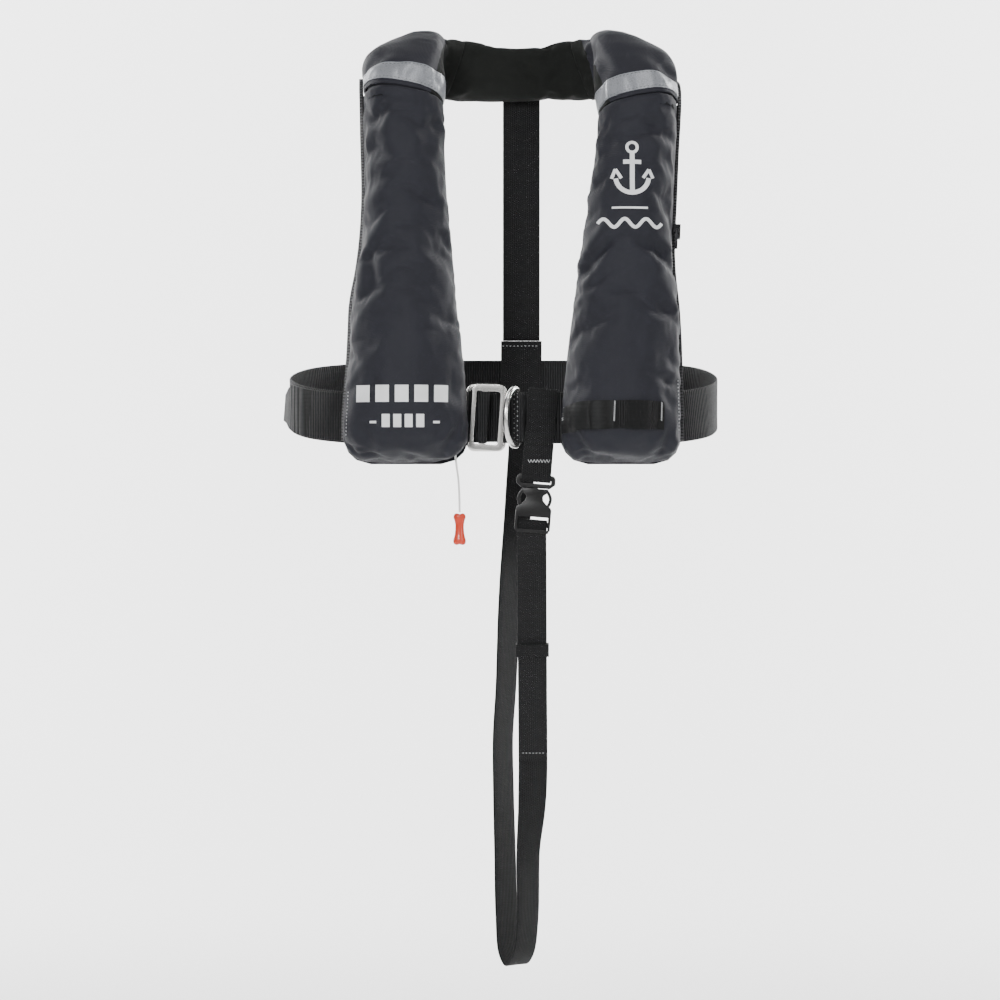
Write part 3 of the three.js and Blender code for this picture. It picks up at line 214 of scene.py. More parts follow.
def slanted_coordinates(material, coordinates):
    """X across, and height mixed with depth along, so that threads run over the shoulders too."""
    tree = material.node_tree
    split = tree.nodes.new("ShaderNodeSeparateXYZ")
    tree.links.new(coordinates.outputs["Object"], split.inputs[0])
    along = math_node(tree, "MULTIPLY_ADD", split.outputs["Y"], -0.7, split.outputs["Z"])
    join = tree.nodes.new("ShaderNodeCombineXYZ")
    tree.links.new(split.outputs["X"], join.inputs["X"])
    tree.links.new(along, join.inputs["Y"])
    return join.outputs[0]


def cloth_material(name, colour, roughness, sheen, lane, row, depth):
    material, shader, coordinates = blank_material(name, roughness)
    tree = material.node_tree
    weave = group_node(material, "Weave", weave_group, slanted_coordinates(material, coordinates),
                       Lane=lane, Row=row, Stagger=0.5, Lane_Depth=0.4)
    wear = group_node(material, "Handling", wear_group, coordinates.outputs["Object"],
                      Patch_Scale=14.0, Speck_Scale=900.0)
    # Colour darker in the weave's grooves and lighter on its threads is painted shade; the patches mixed in
    # are random tone.
    groove_shade_and_tone = math_node(tree, "MULTIPLY_ADD", weave.outputs["Height"], 0.5,
                      math_node(tree, "MULTIPLY", wear.outputs["Patch"], 0.5))
    mixed_colour(material, shaded(colour, 0.6), shaded(colour, 1.35), groove_shade_and_tone, shader)
    rough = math_node(tree, "MULTIPLY_ADD", wear.outputs["Speck"], 0.16, roughness - 0.08)
    tree.links.new(rough, shader.inputs["Roughness"])
    height = math_node(tree, "MULTIPLY_ADD", wear.outputs["Speck"], 0.25, weave.outputs["Height"])
    bumped(material, shader, height, depth)
    shader.inputs["Sheen Weight"].default_value = sheen
    shader.inputs["Sheen Roughness"].default_value = 0.45
    shader.inputs["Specular IOR Level"].default_value = 0.16
    return material


def webbing_material(name, colour, lane, row, stagger, lane_depth):
    material, shader, coordinates = blank_material(name, 0.62)
    tree = material.node_tree
    weave = group_node(material, "Weave", weave_group, coordinates.outputs["UV"],
                       Lane=lane, Row=row, Stagger=stagger, Lane_Depth=lane_depth)
    wear = group_node(material, "Handling", wear_group, coordinates.outputs["Object"],
                      Patch_Scale=22.0, Speck_Scale=700.0)
    # Ribs light and grooves nearly black in the colour: painted shade on the ribs, with random patches of
    # tone mixed in.
    raised = math_node(tree, "POWER", weave.outputs["Height"], 1.6)
    groove_shade_and_tone = math_node(tree, "MULTIPLY_ADD", raised, 0.85,
                      math_node(tree, "MULTIPLY", wear.outputs["Patch"], 0.25))
    mixed_colour(material, shaded(colour, 0.12), shaded(colour, 2.0), groove_shade_and_tone, shader)
    rough = math_node(tree, "MULTIPLY_ADD", wear.outputs["Speck"], 0.2, 0.52)
    tree.links.new(rough, shader.inputs["Roughness"])
    bumped(material, shader, weave.outputs["Height"], 0.0008)
    shader.inputs["Sheen Weight"].default_value = 0.02
    shader.inputs["Specular IOR Level"].default_value = 0.25
    return material


def plastic_material(name, colour, roughness, coat=0.0):
    material, shader, coordinates = blank_material(name, roughness)
    tree = material.node_tree
    wear = group_node(material, "Handling", wear_group, coordinates.outputs["Object"],
                      Patch_Scale=60.0, Speck_Scale=1800.0)
    mixed_colour(material, shaded(colour, 0.85), shaded(colour, 1.2), wear.outputs["Patch"], shader)
    rough = math_node(tree, "MULTIPLY_ADD", wear.outputs["Patch"], 0.18, roughness - 0.09)
    tree.links.new(rough, shader.inputs["Roughness"])
    bumped(material, shader, wear.outputs["Speck"], 0.00008)
    shader.inputs["Coat Weight"].default_value = coat
    return material


def steel_material(name, colour, roughness):
    material, shader, coordinates = blank_material(name, roughness, 1.0)
    tree = material.node_tree
    stretch = tree.nodes.new("ShaderNodeMapping")
    stretch.inputs["Scale"].default_value = (1.0, 1.0, 0.06)
    tree.links.new(coordinates.outputs["Object"], stretch.inputs["Vector"])
    wear = group_node(material, "Handling", wear_group, stretch.outputs[0], Patch_Scale=90.0,
                      Speck_Scale=2600.0)
    mixed_colour(material, shaded(colour, 0.9), shaded(colour, 1.12), wear.outputs["Patch"], shader)
    rough = math_node(tree, "MULTIPLY_ADD", wear.outputs["Speck"], 0.16, roughness - 0.08)
    tree.links.new(rough, shader.inputs["Roughness"])
    bumped(material, shader, wear.outputs["Speck"], 0.00003)
    return material


def tape_material(name, colour):
    """Retro-reflective tape: a fine honeycomb of beads under a clear skin."""
    material, shader, coordinates = blank_material(name, 0.38, 0.35)
    tree = material.node_tree
    cells = tree.nodes.new("ShaderNodeTexVoronoi")
    cells.feature = "DISTANCE_TO_EDGE"
    cells.inputs["Scale"].default_value = 520.0
    tree.links.new(coordinates.outputs["Object"], cells.inputs["Vector"])
    edge = math_node(tree, "MULTIPLY", math_node(tree, "MINIMUM", cells.outputs["Distance"], 0.12), 8.0)
    mixed_colour(material, shaded(colour, 0.75), shaded(colour, 1.1), edge, shader)
    bumped(material, shader, edge, 0.0001)
    shader.inputs["Coat Weight"].default_value = 0.25
    return material


def finishes():
    """Every finish of the jacket, made once."""
    if "cover cloth" in bpy.data.materials:
        return bpy.data.materials
    colours = bpy.context.scene.jacket_colours
    cloth_material("cover cloth", tuple(colours.cover), 0.55, 0.02, 0.0011, 0.0013, 0.00022)
    # This dark cloth also makes the sheets under the lobes' top edges, where it is painted shade.
    cloth_material("panel and shade-flap cloth", shaded(tuple(colours.cover), 0.5), 0.75, 0.05, 0.0016, 0.0018, 0.0003)
    cloth_material("collar cloth", tuple(colours.collar), 0.85, 0.03, 0.0013, 0.0013, 0.00025)
    cloth_material("bladder cloth", tuple(colours.bladder), 0.45, 0.1, 0.0009, 0.0009, 0.0001)
    webbing_material("belt webbing", shaded(tuple(colours.webbing), 1.5), 0.0040, 0.0025, 0.0, 0.12)
    # A darker copy of the belt webbing for the accessory strip: the darkening is painted shade over the slack
    # loops.
    webbing_material("loop webbing with painted shade", shaded(tuple(colours.webbing), 0.8), 0.0040, 0.0025, 0.0, 0.12)
    webbing_material("strap webbing", tuple(colours.webbing), 0.0022, 0.0022, 0.5, 0.45)
    webbing_material("crotch webbing", tuple(colours.webbing), 0.0019, 0.0017, 0.5, 0.4)
    tape_material("silver tape", tuple(colours.tape))
    plastic_material("black acetal", (0.004, 0.004, 0.0043), 0.3)
    plastic_material("zip polymer", (0.012, 0.012, 0.013), 0.42)
    plastic_material("toggle plastic", tuple(colours.toggle), 0.36, 0.3)
    plastic_material("indicator green", (0.03, 0.24, 0.07), 0.4)
    plastic_material("white print", (0.74, 0.75, 0.76), 0.5)
    plastic_material("white thread", (0.55, 0.56, 0.57), 0.75)
    plastic_material("grey thread", (0.05, 0.052, 0.058), 0.7)
    plastic_material("zip teeth", (0.05, 0.051, 0.055), 0.35)
    plastic_material("white cord", (0.82, 0.82, 0.8), 0.7)
    steel_material("satin steel", tuple(colours.steel), 0.24)
    steel_material("blackened steel", (0.03, 0.03, 0.032), 0.4)
    return bpy.data.materials


# ------------------------------------------------------------------ mesh helpers

def finished(bm, name, material, body="root", stands_for=(), smooth=True):
    """Turns a bmesh into a finished piece that rides on a CAD body."""
    mesh = bpy.data.meshes.new(name)
    bm.to_mesh(mesh)
    bm.free()
    for polygon in mesh.polygons:
        polygon.use_smooth = smooth
    mesh.materials.append(finishes()[material])
    obj = bpy.data.objects.new(name, mesh)
    bpy.context.scene.collection.objects.link(obj)
    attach(obj, body)
    if stands_for:
        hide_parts(*stands_for)
    return obj


def node_mesh(*nodes):
    """A merged copy of CAD nodes."""
    bm = bmesh.new()
    for node in nodes:
        bm.from_mesh(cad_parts[node].data)
    bmesh.ops.remove_doubles(bm, verts=bm.verts, dist=0.02 * MM)
    return bm


def dissolve_flat(bm, angle=math.radians(1.0)):
    bmesh.ops.dissolve_limit(bm, angle_limit=angle, use_dissolve_boundaries=False, verts=bm.verts,
                             edges=bm.edges)


def bevel_edges(bm, width, segments=3, least=math.radians(30)):
    sharp = [edge for edge in bm.edges if len(edge.link_faces) == 2 and edge.calc_face_angle(0) > least]
    bmesh.ops.bevel(bm, geom=sharp, offset=width, offset_type="OFFSET", segments=segments, profile=0.5,
                    affect="EDGES", clamp_overlap=True, material=-1)


def hard_piece(node, material, body, width=0.5 * MM, segments=3):
    """A moulded or pressed piece: the CAD node with rounded edges."""
    bm = node_mesh(node)
    dissolve_flat(bm)
    bevel_edges(bm, width, segments)
    bmesh.ops.triangulate(bm, faces=[f for f in bm.faces if len(f.verts) > 4])
    obj = finished(bm, node + "_piece", material, body, (node,))
    shade_by_angle(obj, math.radians(35))
    return obj


def shade_by_angle(obj, angle):
    for edge in obj.data.edges:
        edge.use_edge_sharp = False
    bm = bmesh.new()
    bm.from_mesh(obj.data)
    for edge in bm.edges:
        edge.smooth = len(edge.link_faces) == 2 and edge.calc_face_angle(0) < angle
    bm.to_mesh(obj.data)
    bm.free()


def set_uv(bm, place):
    """Writes a UV map in metres from each corner's position and its face's normal."""
    layer = bm.loops.layers.uv.new("UVMap")
    for face in bm.faces:
        for loop in face.loops:
            loop[layer].uv = place(loop.vert.co, face.normal)


def catmull(points, per_span):
    """A smooth run through chosen points."""
    result = []
    padded = [2 * points[0] - points[1], *points, 2 * points[-1] - points[-2]]
    for i in range(len(points) - 1):
        a, b, c, d = padded[i:i + 4]
        steps = [0.0]
        for p, q in ((a, b), (b, c), (c, d)):
            steps.append(steps[-1] + max((q - p).length, 1e-9) ** 0.5)
        for k in range(per_span):
            t = steps[1] + (steps[2] - steps[1]) * k / per_span
            low = [a.lerp(b, (t - steps[0]) / (steps[1] - steps[0])),
                   b.lerp(c, (t - steps[1]) / (steps[2] - steps[1])),
                   c.lerp(d, (t - steps[2]) / (steps[3] - steps[2]))]
            mid = [low[0].lerp(low[1], (t - steps[0]) / (steps[2] - steps[0])),
                   low[1].lerp(low[2], (t - steps[1]) / (steps[3] - steps[1]))]
            result.append(mid[0].lerp(mid[1], (t - steps[1]) / (steps[2] - steps[1])))
    result.append(points[-1].copy())
    return result


def webbing_run(name, route, width, thick, material, body="root", stands_for=(), per_span=6, wave=0.0):
    """A flat strap swept along route, a list of (point, width direction), with soft rounded selvedges."""
    centres = catmull([Vector(p) for p, w in route], per_span)
    widths = catmull([Vector(w).normalized() for p, w in route], per_span)
    section = []
    half, deep = width / 2, thick / 2
    for x, y in ((-1, 0), (-0.975, 0.7), (-0.93, 1), (-0.45, 1), (0, 1), (0.45, 1), (0.93, 1), (0.975, 0.7),
                 (1, 0), (0.975, -0.7), (0.93, -1), (0.45, -1), (0, -1), (-0.45, -1), (-0.93, -1),
                 (-0.975, -0.7)):
        section.append((x * half, y * deep))
    bm = bmesh.new()
    layer = bm.loops.layers.uv.new("UVMap")
    rings = []
    along = [0.0]
    for i, centre in enumerate(centres):
        ahead = (centres[min(i + 1, len(centres) - 1)] - centres[max(i - 1, 0)]).normalized()
        wide = (widths[i] - ahead * widths[i].dot(ahead)).normalized()
        normal = ahead.cross(wide)
        if i:
            along.append(along[-1] + (centre - centres[i - 1]).length)
        ripple = wave * noise.noise(Vector((along[-1] * 9, width * 50, 3.1)))
        ring = [bm.verts.new(centre + wide * x + normal * (y + ripple * (x / half) ** 2)) for x, y in section]
        rings.append(ring)
    for i in range(len(rings) - 1):
        for k in range(len(section)):
            n = (k + 1) % len(section)
            face = bm.faces.new((rings[i][k], rings[i][n], rings[i + 1][n], rings[i + 1][k]))
            for loop, (s, j) in zip(face.loops, ((k, i), (n, i), (n, i + 1), (k, i + 1))):
                loop[layer].uv = (section[s][0], along[j])
    for ring in (rings[0], rings[-1]):
        face = bm.faces.new(ring)
        for loop, (x, y) in zip(face.loops, section):
            loop[layer].uv = (x, y)
    bmesh.ops.recalc_face_normals(bm, faces=bm.faces)
    return finished(bm, name, material, body, stands_for)


def webbing_copy(node, material, body, upright, width=0.35 * MM):
    """A short sewn piece of webbing: the CAD node with soft edges, its weave running across or up."""
    bm = node_mesh(node)
    dissolve_flat(bm, math.radians(0.5))
    bevel_edges(bm, width, 2, math.radians(50))
    bmesh.ops.triangulate(bm, faces=[f for f in bm.faces if len(f.verts) > 4])
    if upright:
        set_uv(bm, lambda p, n: (p.x, p.z + (p.y if abs(n.z) > 0.7 else 0)))
    else:
        set_uv(bm, lambda p, n: (p.z, p.x + (p.y if abs(n.x) > 0.7 else 0)))
    obj = finished(bm, node + "_piece", material, body, (node,))
    shade_by_angle(obj, math.radians(40))
    return obj


def surface_tree(objects):
    """A search tree over pieces, for laying stitches, prints and tapes on them."""
    bm = bmesh.new()
    depsgraph = bpy.context.evaluated_depsgraph_get()
    for obj in objects:
        bm.from_mesh(obj.evaluated_get(depsgraph).to_mesh())
    tree = BVHTree.FromBMesh(bm)
    bm.free()
    return tree


def seen_from_front(tree, point):
    """Where the surface in the tree is first met from the front, or else its nearest place."""
    hit = tree.ray_cast(Vector((point.x, -1.0, point.z)), Vector((0, 1, 0)))
    return hit if hit[0] is not None else tree.find_nearest(point)


def stitch_line(bm, points, tree, length, gap, thick, lift=0.0001, front=False):
    """Adds stitches along points, pulled onto the surface in the tree."""
    total = [0.0]
    for a, b in zip(points, points[1:]):
        total.append(total[-1] + (b - a).length)
    at = 0.0
    while at + length < total[-1]:
        ends = []
        for distance in (at, at + length):
            i = max(k for k in range(len(total) - 1) if total[k] <= distance)
            share = (distance - total[i]) / max(total[i + 1] - total[i], 1e-9)
            ends.append(points[i].lerp(points[i + 1], share))
        at += length + gap
        hits = [seen_from_front(tree, end) if front else tree.find_nearest(end) for end in ends]
        if any(hit[0] is None for hit in hits):
            continue
        a, b = hits[0][0] + hits[0][1] * lift, hits[1][0] + hits[1][1] * lift
        if (b - a).length < length * 0.3:
            continue
        ahead = (b - a).normalized()
        normal = (hits[0][1] + hits[1][1]).normalized()
        side = ahead.cross(normal).normalized()
        matrix = Matrix.Translation((a + b) / 2) @ Matrix((
            (ahead.x, side.x, normal.x, 0), (ahead.y, side.y, normal.y, 0), (ahead.z, side.z, normal.z, 0),
            (0, 0, 0, 1)))
        matrix = matrix @ Matrix.Diagonal(((b - a).length / 2, thick / 2, thick / 2, 1))
        bmesh.ops.create_icosphere(bm, subdivisions=1, radius=1.0, matrix=matrix)


# ------------------------------------------------------------------ soft goods

def outer_skin(node):
    """The outside of a thin CAD shell, without its inside and its rims."""
    bm = node_mesh(node)
    sharp = [edge for edge in bm.edges
             if len(edge.link_faces) == 2 and edge.calc_face_angle(0) > math.radians(58)]
    bmesh.ops.split_edges(bm, edges=sharp)
    islands = []
    seen = set()
    for face in bm.faces:
        if face in seen:
            continue
        stack, island = [face], []
        seen.add(face)
        while stack:
            current = stack.pop()
            island.append(current)
            for edge in current.edges:
                for other in edge.link_faces:
                    if other not in seen:
                        seen.add(other)
                        stack.append(other)
        islands.append(island)
    largest = max(islands, key=lambda island: sum(face.calc_area() for face in island))
    keep = set(largest)
    bmesh.ops.delete(bm, geom=[face for face in bm.faces if face not in keep], context="FACES")
    return bm


def boundary_loops(bm):
    edges = {edge for edge in bm.edges if len(edge.link_faces) == 1}
    loops = []
    while edges:
        first = edges.pop()
        loop, vertex = [first], first.verts[1]
        while True:
            following = next((e for e in vertex.link_edges if e in edges), None)
            if following is None:
                break
            edges.discard(following)
            loop.append(following)
            vertex = following.other_vert(vertex)
        loops.append(loop)
    return loops


def plane_of(points):
    """Middle and normal of a nearly flat ring of points."""
    middle = sum(points, Vector()) / len(points)
    normal = Vector()
    for a, b in zip(points, points[1:] + points[:1]):
        normal += (a - middle).cross(b - middle)
    return middle, normal.normalized()


def ring_points(loop):
    vertices = []
    for edge, following in zip(loop, loop[1:] + loop[:1]):
        shared = set(edge.verts) & set(following.verts)
        vertices.append(next(iter(shared)).co.copy() if shared else edge.verts[0].co.copy())
    return vertices


def above_seam(point):
    return (point - SEAM_POINT).dot(SEAM_FACE)


def cap_lobe(bm, top_point, top_normal):
    """Runs a lobe cover's skin past its rim and its top, and closes it there."""
    rim_faces = [f for f in bm.faces
                 if f.normal.dot(SEAM_FACE) < -0.8 and above_seam(f.calc_center_median()) < 0.004]
    bmesh.ops.delete(bm, geom=rim_faces, context="FACES")
    edges = [edge for edge in bm.edges if len(edge.link_faces) == 1]
    ring = {vertex for edge in edges for vertex in edge.verts}
    arch = {v for v in ring if abs((v.co - top_point).dot(top_normal)) < 0.0008}
    arch_edges = [edge for edge in edges if edge.verts[0] in arch and edge.verts[1] in arch]
    ends = {}
    for edge in arch_edges:
        for vertex in edge.verts:
            ends[vertex] = ends.get(vertex, 0) + 1
    corners = {vertex for vertex, count in ends.items() if count == 1}
    for vertex in ring:
        if vertex in arch:
            vertex.co += top_normal * 0.004
        if vertex not in arch or vertex in corners:
            vertex.co -= SEAM_FACE * 0.005
    closing = bm.edges.new(list(corners))
    bmesh.ops.contextual_create(bm, geom=arch_edges + [closing])
    bmesh.ops.contextual_create(bm, geom=[edge for edge in bm.edges if len(edge.link_faces) == 1])


def cap_sleeve(bm):
    """Runs a sleeve past both open ends and closes it, and returns the ends' planes, pointing outward."""
    planes = []
    centre = sum((v.co for v in bm.verts), Vector()) / len(bm.verts)
    for loop in boundary_loops(bm):
        middle, normal = plane_of(ring_points(loop))
        if normal.dot(middle - centre) < 0:
            normal = -normal
        planes.append((middle, normal))
        for vertex in {v for edge in loop for v in edge.verts}:
            vertex.co += normal * 0.004
        bmesh.ops.contextual_create(bm, geom=loop)
    return planes


def remeshed(bm, name, voxel):
    """A closed bmesh as a temporary object with an even grid."""
    bmesh.ops.triangulate(bm, faces=bm.faces)
    bmesh.ops.recalc_face_normals(bm, faces=bm.faces)
    mesh = bpy.data.meshes.new(name + "_grid")
    bm.to_mesh(mesh)
    bm.free()
    obj = bpy.data.objects.new(name + "_grid", mesh)
    bpy.context.scene.collection.objects.link(obj)
    modifier = obj.modifiers.new("grid", "REMESH")
    modifier.mode = "VOXEL"
    modifier.voxel_size = voxel
    return baked(obj)


def baked(obj):
    """Applies every modifier of an object."""
    depsgraph = bpy.context.evaluated_depsgraph_get()
    mesh = bpy.data.meshes.new_from_object(obj.evaluated_get(depsgraph))
    obj.modifiers.clear()
    obj.data = mesh
    return obj


def simulated(obj, held, pressure, swell):
    """Fills a closed cloth with air. held is how firmly each vertex is pinned."""
    start = [vertex.co.copy() for vertex in obj.data.vertices]
    group = obj.vertex_groups.new(name="held")
    for i, weight in enumerate(held):
        group.add([i], weight, "REPLACE")
    modifier = obj.modifiers.new("cloth", "CLOTH")
    settings = modifier.settings
    settings.quality = 5
    settings.mass = 0.3
    settings.tension_stiffness = 18
    settings.compression_stiffness = 12
    settings.bending_stiffness = 0.35
    settings.use_pressure = True
    settings.uniform_pressure_force = pressure
    settings.vertex_group_mass = "held"
    settings.shrink_min = -0.035
    settings.effector_weights.gravity = 0.0
    modifier.collision_settings.use_collision = False
    scene = bpy.context.scene
    for step in range(1, 21):
        scene.frame_set(step)
    depsgraph = bpy.context.evaluated_depsgraph_get()
    moved = [vertex.co.copy() for vertex in obj.evaluated_get(depsgraph).data.vertices]
    obj.modifiers.clear()
    scene.frame_set(1)
    for vertex, before, after in zip(obj.data.vertices, start, moved):
        step = after - before
        if step.length > swell:
            step *= swell / step.length
        vertex.co = before + step
    return obj


def smooth_share(value, low, high):
    share = min(max((value - low) / (high - low), 0.0), 1.0)
    return share * share * (3 - 2 * share)


def fold(obj, a, b, depth, width, side=0.6):
    """Presses a soft crease, ridged on both sides, along the line a-b seen from the front (x, z)."""
    a, b = Vector(a), Vector(b)
    along = b - a
    length = along.length
    along.normalize()
    for vertex in obj.data.vertices:
        offset = Vector((vertex.co.x, vertex.co.z)) - a
        travel = offset.dot(along)
        share = travel / length
        if not -0.25 < share < 1.25:
            continue
        reach = (offset - along * travel).length
        if reach > 4 * width:
            continue
        ends = smooth_share(share, -0.25, 0.25) * (1 - smooth_share(share, 0.75, 1.25))
        ends *= smooth_share(-vertex.normal.y, -0.2, 0.3)
        press = -depth * math.exp(-(reach / width) ** 2)
        lift = side * depth * math.exp(-((reach - 1.9 * width) / width) ** 2)
        vertex.co += vertex.normal * (press + lift) * ends


def rumpled(obj, amount, scale, stretch=(1.0, 1.0, 0.35), seed=0.0, keep=None):
    """Moves the cloth in and out by smooth noise, stretched along the piece."""
    for vertex in obj.data.vertices:
        where = Vector((vertex.co.x * stretch[0], vertex.co.y * stretch[1], vertex.co.z * stretch[2]))
        value = noise.fractal(where * scale + Vector((seed, seed * 0.7, 0)), 0.8, 2.1, 3)
        weight = keep(vertex.co) if keep else 1.0
        vertex.co += vertex.normal * value * amount * weight


def cut_at(obj, planes):
    """Cuts the cloth at planes, keeping what lies behind them."""
    bm = bmesh.new()
    bm.from_mesh(obj.data)
    for point, normal in planes:
        geometry = list(bm.verts) + list(bm.edges) + list(bm.faces)
        bmesh.ops.bisect_plane(bm, geom=geometry, plane_co=point, plane_no=normal, clear_outer=True)
    bm.to_mesh(obj.data)
    bm.free()


def cloth_piece(obj, name, material, body, node, wall=True):
    """Names a finished soft piece, gives it its cloth, smooths it, puts it on its body, hides the CAD node it
    stands for and, with wall, thickens it.
    """
    obj.name = name
    obj.data.name = name
    obj.vertex_groups.clear()
    obj.data.materials.clear()
    obj.data.materials.append(finishes()[material])
    for polygon in obj.data.polygons:
        polygon.use_smooth = True
    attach(obj, body)
    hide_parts(node)
    subdivision = obj.modifiers.new("smooth", "SUBSURF")
    subdivision.levels = subdivision.render_levels = 1
    if wall:
        thickness = obj.modifiers.new("cloth wall", "SOLIDIFY")
        thickness.thickness = bpy.context.scene.jacket_sizes.cloth_wall
        thickness.offset = -1
    return obj


# Each lobe's top: a point, the way up the band, and the way out to its zip.
# Then its folds, each as (start, end, depth, width).
LOBES = {
    "right": {
        "top": ((-0.113462, -0.103823, -0.044501), (0.139, 0.313, 0.940), (-0.989, 0, 0.146)), "seed": 1.7,
        "folds": [
            ((-0.146, -0.196), (-0.139, -0.228), 0.0032, 0.005),
            ((-0.058, -0.368), (-0.076, -0.392), 0.0040, 0.005),
            ((-0.072, -0.362), (-0.086, -0.396), 0.0022, 0.004),
            ((-0.150, -0.365), (-0.140, -0.392), 0.0028, 0.005),
            ((-0.141, -0.070), (-0.128, -0.052), 0.0030, 0.006),
            ((-0.148, -0.135), (-0.130, -0.118), 0.0016, 0.006),
            ((-0.078, -0.060), (-0.092, -0.100), 0.0020, 0.006),
            ((-0.064, -0.250), (-0.078, -0.290), 0.0014, 0.007),
            ((-0.115, -0.392), (-0.090, -0.397), 0.0022, 0.004),
            ((-0.060, -0.320), (-0.072, -0.338), 0.0016, 0.004),
        ]},
    "left": {
        "top": ((0.118372, -0.104217, -0.054444), (-0.174, 0.366, 0.914), (0.982, 0, 0.187)), "seed": 7.3,
        "folds": [
            ((0.056, -0.226), (0.088, -0.180), 0.0036, 0.005),
            ((0.060, -0.236), (0.078, -0.222), 0.0026, 0.004),
            ((0.130, -0.190), (0.147, -0.204), 0.0040, 0.005),
            ((0.134, -0.318), (0.150, -0.323), 0.0032, 0.004),
            ((0.140, -0.330), (0.147, -0.345), 0.0020, 0.004),
            ((0.052, -0.372), (0.066, -0.394), 0.0034, 0.005),
            ((0.146, -0.372), (0.134, -0.394), 0.0028, 0.005),
            ((0.128, -0.070), (0.148, -0.082), 0.0030, 0.006),
            ((0.128, -0.232), (0.150, -0.262), 0.0018, 0.007),
            ((0.083, -0.075), (0.094, -0.105), 0.0020, 0.006),
            ((0.075, -0.394), (0.110, -0.397), 0.0020, 0.004),
            ((0.092, -0.178), (0.108, -0.168), 0.0016, 0.006),
        ]},
}


def lobe_cover(side):
    sizes = bpy.context.scene.jacket_sizes
    node = side + "_lobe_cover"
    top_point, top_normal, top_out = (Vector(v) for v in LOBES[side]["top"])
    top_normal.normalize()
    bm = outer_skin(node)
    cap_lobe(bm, top_point, top_normal)
    obj = remeshed(bm, node, sizes.voxel)

    def held(point):
        seam = 1 - smooth_share(above_seam(point), 0.004, 0.014)
        top = smooth_share((point - top_point).dot(top_normal), -0.016, -0.003)
        return max(seam, top)

    simulated(obj, [held(v.co) for v in obj.data.vertices], sizes.pressure, sizes.swell)

    def free(point):
        return 1 - held(point)

    rumpled(obj, 0.0030, 11.0, (1.3, 1.0, 0.45), LOBES[side]["seed"], free)
    rumpled(obj, 0.0012, 34.0, (1.2, 1.0, 0.6), LOBES[side]["seed"] + 3, free)
    for a, b, depth, width in LOBES[side]["folds"]:
        fold(obj, a, b, depth, width)
    below = top_point - Vector((top_point.x, SEAM_POINT.y, SEAM_POINT.z))
    rim = top_out.cross(below).normalized()
    if rim.dot(SEAM_FACE) > 0:
        rim = -rim
    cut_at(obj, [(SEAM_POINT, -SEAM_FACE), (top_point, rim), (top_point + top_normal * 0.0010, top_normal)])
    return cloth_piece(obj, node + "_cloth", "cover cloth", side + "_cover", node)


def sleeve_cover(node, seed, amount):
    sizes = bpy.context.scene.jacket_sizes
    bm = outer_skin(node)
    planes = cap_sleeve(bm)
    obj = remeshed(bm, node, sizes.voxel)

    def held(point):
        return max(smooth_share((point - p).dot(n), -0.012, -0.004) for p, n in planes)

    simulated(obj, [held(v.co) for v in obj.data.vertices], sizes.pressure * 0.6, sizes.swell * 0.7)
    rumpled(obj, amount, 16.0, (1.0, 1.0, 1.0), seed, lambda point: 1 - held(point))
    return obj, planes


# ------------------------------------------------------------------ operators

